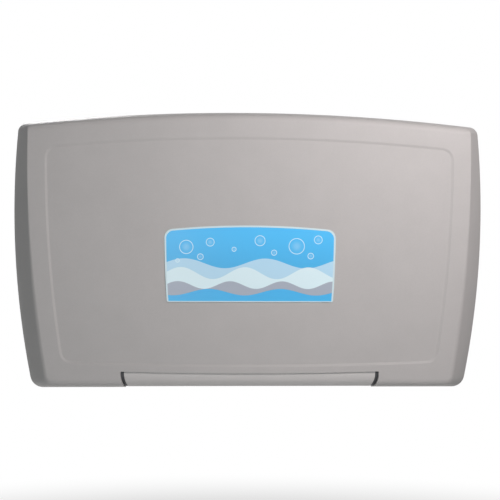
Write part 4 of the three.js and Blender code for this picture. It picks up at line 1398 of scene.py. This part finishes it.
class STATION_OT_stage(bpy.types.Operator):
    """Sets up the floor, soft lights and the camera at the photograph's angle"""

    bl_idname = "station.stage"
    bl_label = "Stage"

    def execute(self, context):
        settings = station()
        add_floor()
        add_world()
        add_lamp("key", (0.5, -0.9, 0.52), (0.0, -0.1, 0.02), 0.5, 9.2, KEY_COLOUR)
        add_lamp("front", (-0.5, -2.0, 0.0), (0.0, -0.1, 0.0), 0.8, 7.0, FRONT_COLOUR)
        add_lamp("low", (0.1, -0.45, -0.85), (0.0, -0.1, -0.1), 0.4, 0.5)
        add_lamp("behind", (-0.7, 1.4, 0.6), (0.0, 0.0, 0.0), 0.8, 18.0)
        turn = -settings.camera_turn
        rise = math.radians(-0.75)
        back = Vector((math.sin(turn), -math.cos(turn), math.tan(rise))).normalized()
        camera = bpy.data.objects.new("camera", bpy.data.cameras.new("camera"))
        context.scene.collection.objects.link(camera)
        centre = Vector((-0.0015, FACE_Y * MM, -0.0012))
        camera.location = centre + back * settings.camera_distance
        camera.rotation_mode = "QUATERNION"
        level = (-back).to_track_quat("-Z", "Y")
        camera.rotation_quaternion = level @ Quaternion((0, 0, 1), math.radians(0.2))
        camera.data.sensor_width = 36.0
        photo_width = 0.9225
        camera.data.lens = camera.data.sensor_width * settings.camera_distance / photo_width
        context.scene.camera = camera
        context.scene.view_settings.view_transform = "Standard"
        return {"FINISHED"}


def add_lamp(name, place_m, target, size, power, colour=(1.0, 1.0, 1.0)):
    lamp = bpy.data.lights.new(name, "AREA")
    lamp.shape = "DISK"
    lamp.color = colour
    lamp.size = size
    lamp.energy = power
    lamp_object = bpy.data.objects.new(name, lamp)
    lamp_object.visible_camera = False
    lamp_object.location = place_m
    lamp_object.rotation_mode = "QUATERNION"
    lamp_object.rotation_quaternion = (Vector(target) - Vector(place_m)).to_track_quat("-Z", "Y")
    bpy.context.scene.collection.objects.link(lamp_object)


def seen_rays(nodes):
    """1 for rays that show the surround: the camera's, reflected ones and those through glass."""
    seen = nodes.node("ShaderNodeLightPath", {}, {}, "Is Camera Ray")
    for kind in ("Is Glossy Ray", "Is Transmission Ray"):
        seen = most(nodes, seen, nodes.node("ShaderNodeLightPath", {}, {}, kind))
    return seen


def add_floor():
    """A pale floor a usual mounting height below, whose far part fades to the white surround."""
    drop, reach, paleness = 0.75, 30.0, 0.72
    mesh = bpy.data.meshes.new("floor")
    z = BOTTOM - drop
    corners = [(-reach, -reach, z), (reach, -reach, z), (reach, reach, z), (-reach, reach, z)]
    mesh.from_pydata(corners, [], [(0, 1, 2, 3)])
    floor = bpy.data.objects.new("floor", mesh)
    bpy.context.scene.collection.objects.link(floor)
    finish = Finish("pale floor", {"Base Color": (0.82, 0.82, 0.81, 1.0), "Roughness": 0.7})
    length = finish.node("ShaderNodeVectorMath", {"operation": "LENGTH"}, {0: finish.place()}, "Value")
    white = seen_rays(finish) * most(finish, finish.step(length, 1.6, 3.2), paleness)
    glow = finish.node("ShaderNodeEmission", {}, {}, "Emission")
    surface = Value(finish, finish.surface.outputs[0])
    shown = finish.node("ShaderNodeMixShader", {}, {0: white, 1: surface, 2: glow}, "Shader")
    output = next(n for n in finish.tree.nodes if n.type == "OUTPUT_MATERIAL")
    finish.tree.links.new(shown.socket, output.inputs["Surface"])
    mesh.materials.append(finish.material)


def add_world():
    """White to the camera and in reflections, a soft grey fill to everything else."""
    world = bpy.data.worlds.new("studio")
    bpy.context.scene.world = world
    world.use_nodes = True
    nodes = Nodes(world.node_tree)
    background = "ShaderNodeBackground"
    fill = nodes.node(background, {}, {"Color": (0.96, 0.985, 1.0, 1.0), "Strength": FILL}, "Background")
    white = nodes.node(background, {}, {"Color": (1.0, 1.0, 1.0, 1.0)}, "Background")
    shown = nodes.node("ShaderNodeMixShader", {}, {0: seen_rays(nodes), 1: fill, 2: white}, "Shader")
    output = next(n for n in nodes.tree.nodes if n.type == "OUTPUT_WORLD")
    nodes.tree.links.new(shown.socket, output.inputs["Surface"])


class STATION_OT_steelwork(bpy.types.Operator):
    """Finishes the frame's own steel and nylon parts"""

    bl_idname = "station.steelwork"
    bl_label = "Steelwork"

    def execute(self, context):
        for part in frame["record"]["subparts"]:
            node = frame["nodes"][part["node"]]
            node.data.materials.clear()
            node.data.materials.append(finish_of(part["material_slot"]))
        return {"FINISHED"}


OPERATORS = [
    STATION_OT_stage,
    STATION_OT_steelwork,
    STATION_OT_bed_shell,
    STATION_OT_bed_tray,
    STATION_OT_label,
    STATION_OT_back_shell,
    STATION_OT_inner_panel,
    STATION_OT_liner_pocket,
    STATION_OT_hinge_cover,
    STATION_OT_strut_hood,
    STATION_OT_slot_shade_rings,
    STATION_OT_bag_hooks,
    STATION_OT_bumpers,
    STATION_OT_straps,
    STATION_OT_anchors,
    STATION_OT_buckle,
    STATION_OT_screws,
]


class STATION_PT_panel(bpy.types.Panel):
    """Lists the station's pieces"""

    bl_label = "Changing Station"
    bl_idname = "STATION_PT_panel"
    bl_space_type = "VIEW_3D"
    bl_region_type = "UI"
    bl_category = "Station"

    def draw(self, context):
        for operator in OPERATORS:
            self.layout.operator(operator.bl_idname)


CLASSES = [StationSizes, StationColours, *OPERATORS, STATION_PT_panel]


def register():
    for cls in CLASSES:
        bpy.utils.register_class(cls)
    bpy.types.Scene.station = PointerProperty(type=StationSizes)
    bpy.types.Scene.station_colours = PointerProperty(type=StationColours)


def unregister():
    del bpy.types.Scene.station
    del bpy.types.Scene.station_colours
    for cls in reversed(CLASSES):
        bpy.utils.unregister_class(cls)


def main():
    register()
    for operator in OPERATORS:
        group, name = operator.bl_idname.split(".")
        getattr(getattr(bpy.ops, group), name)()


if __name__ == "__main__":
    main()
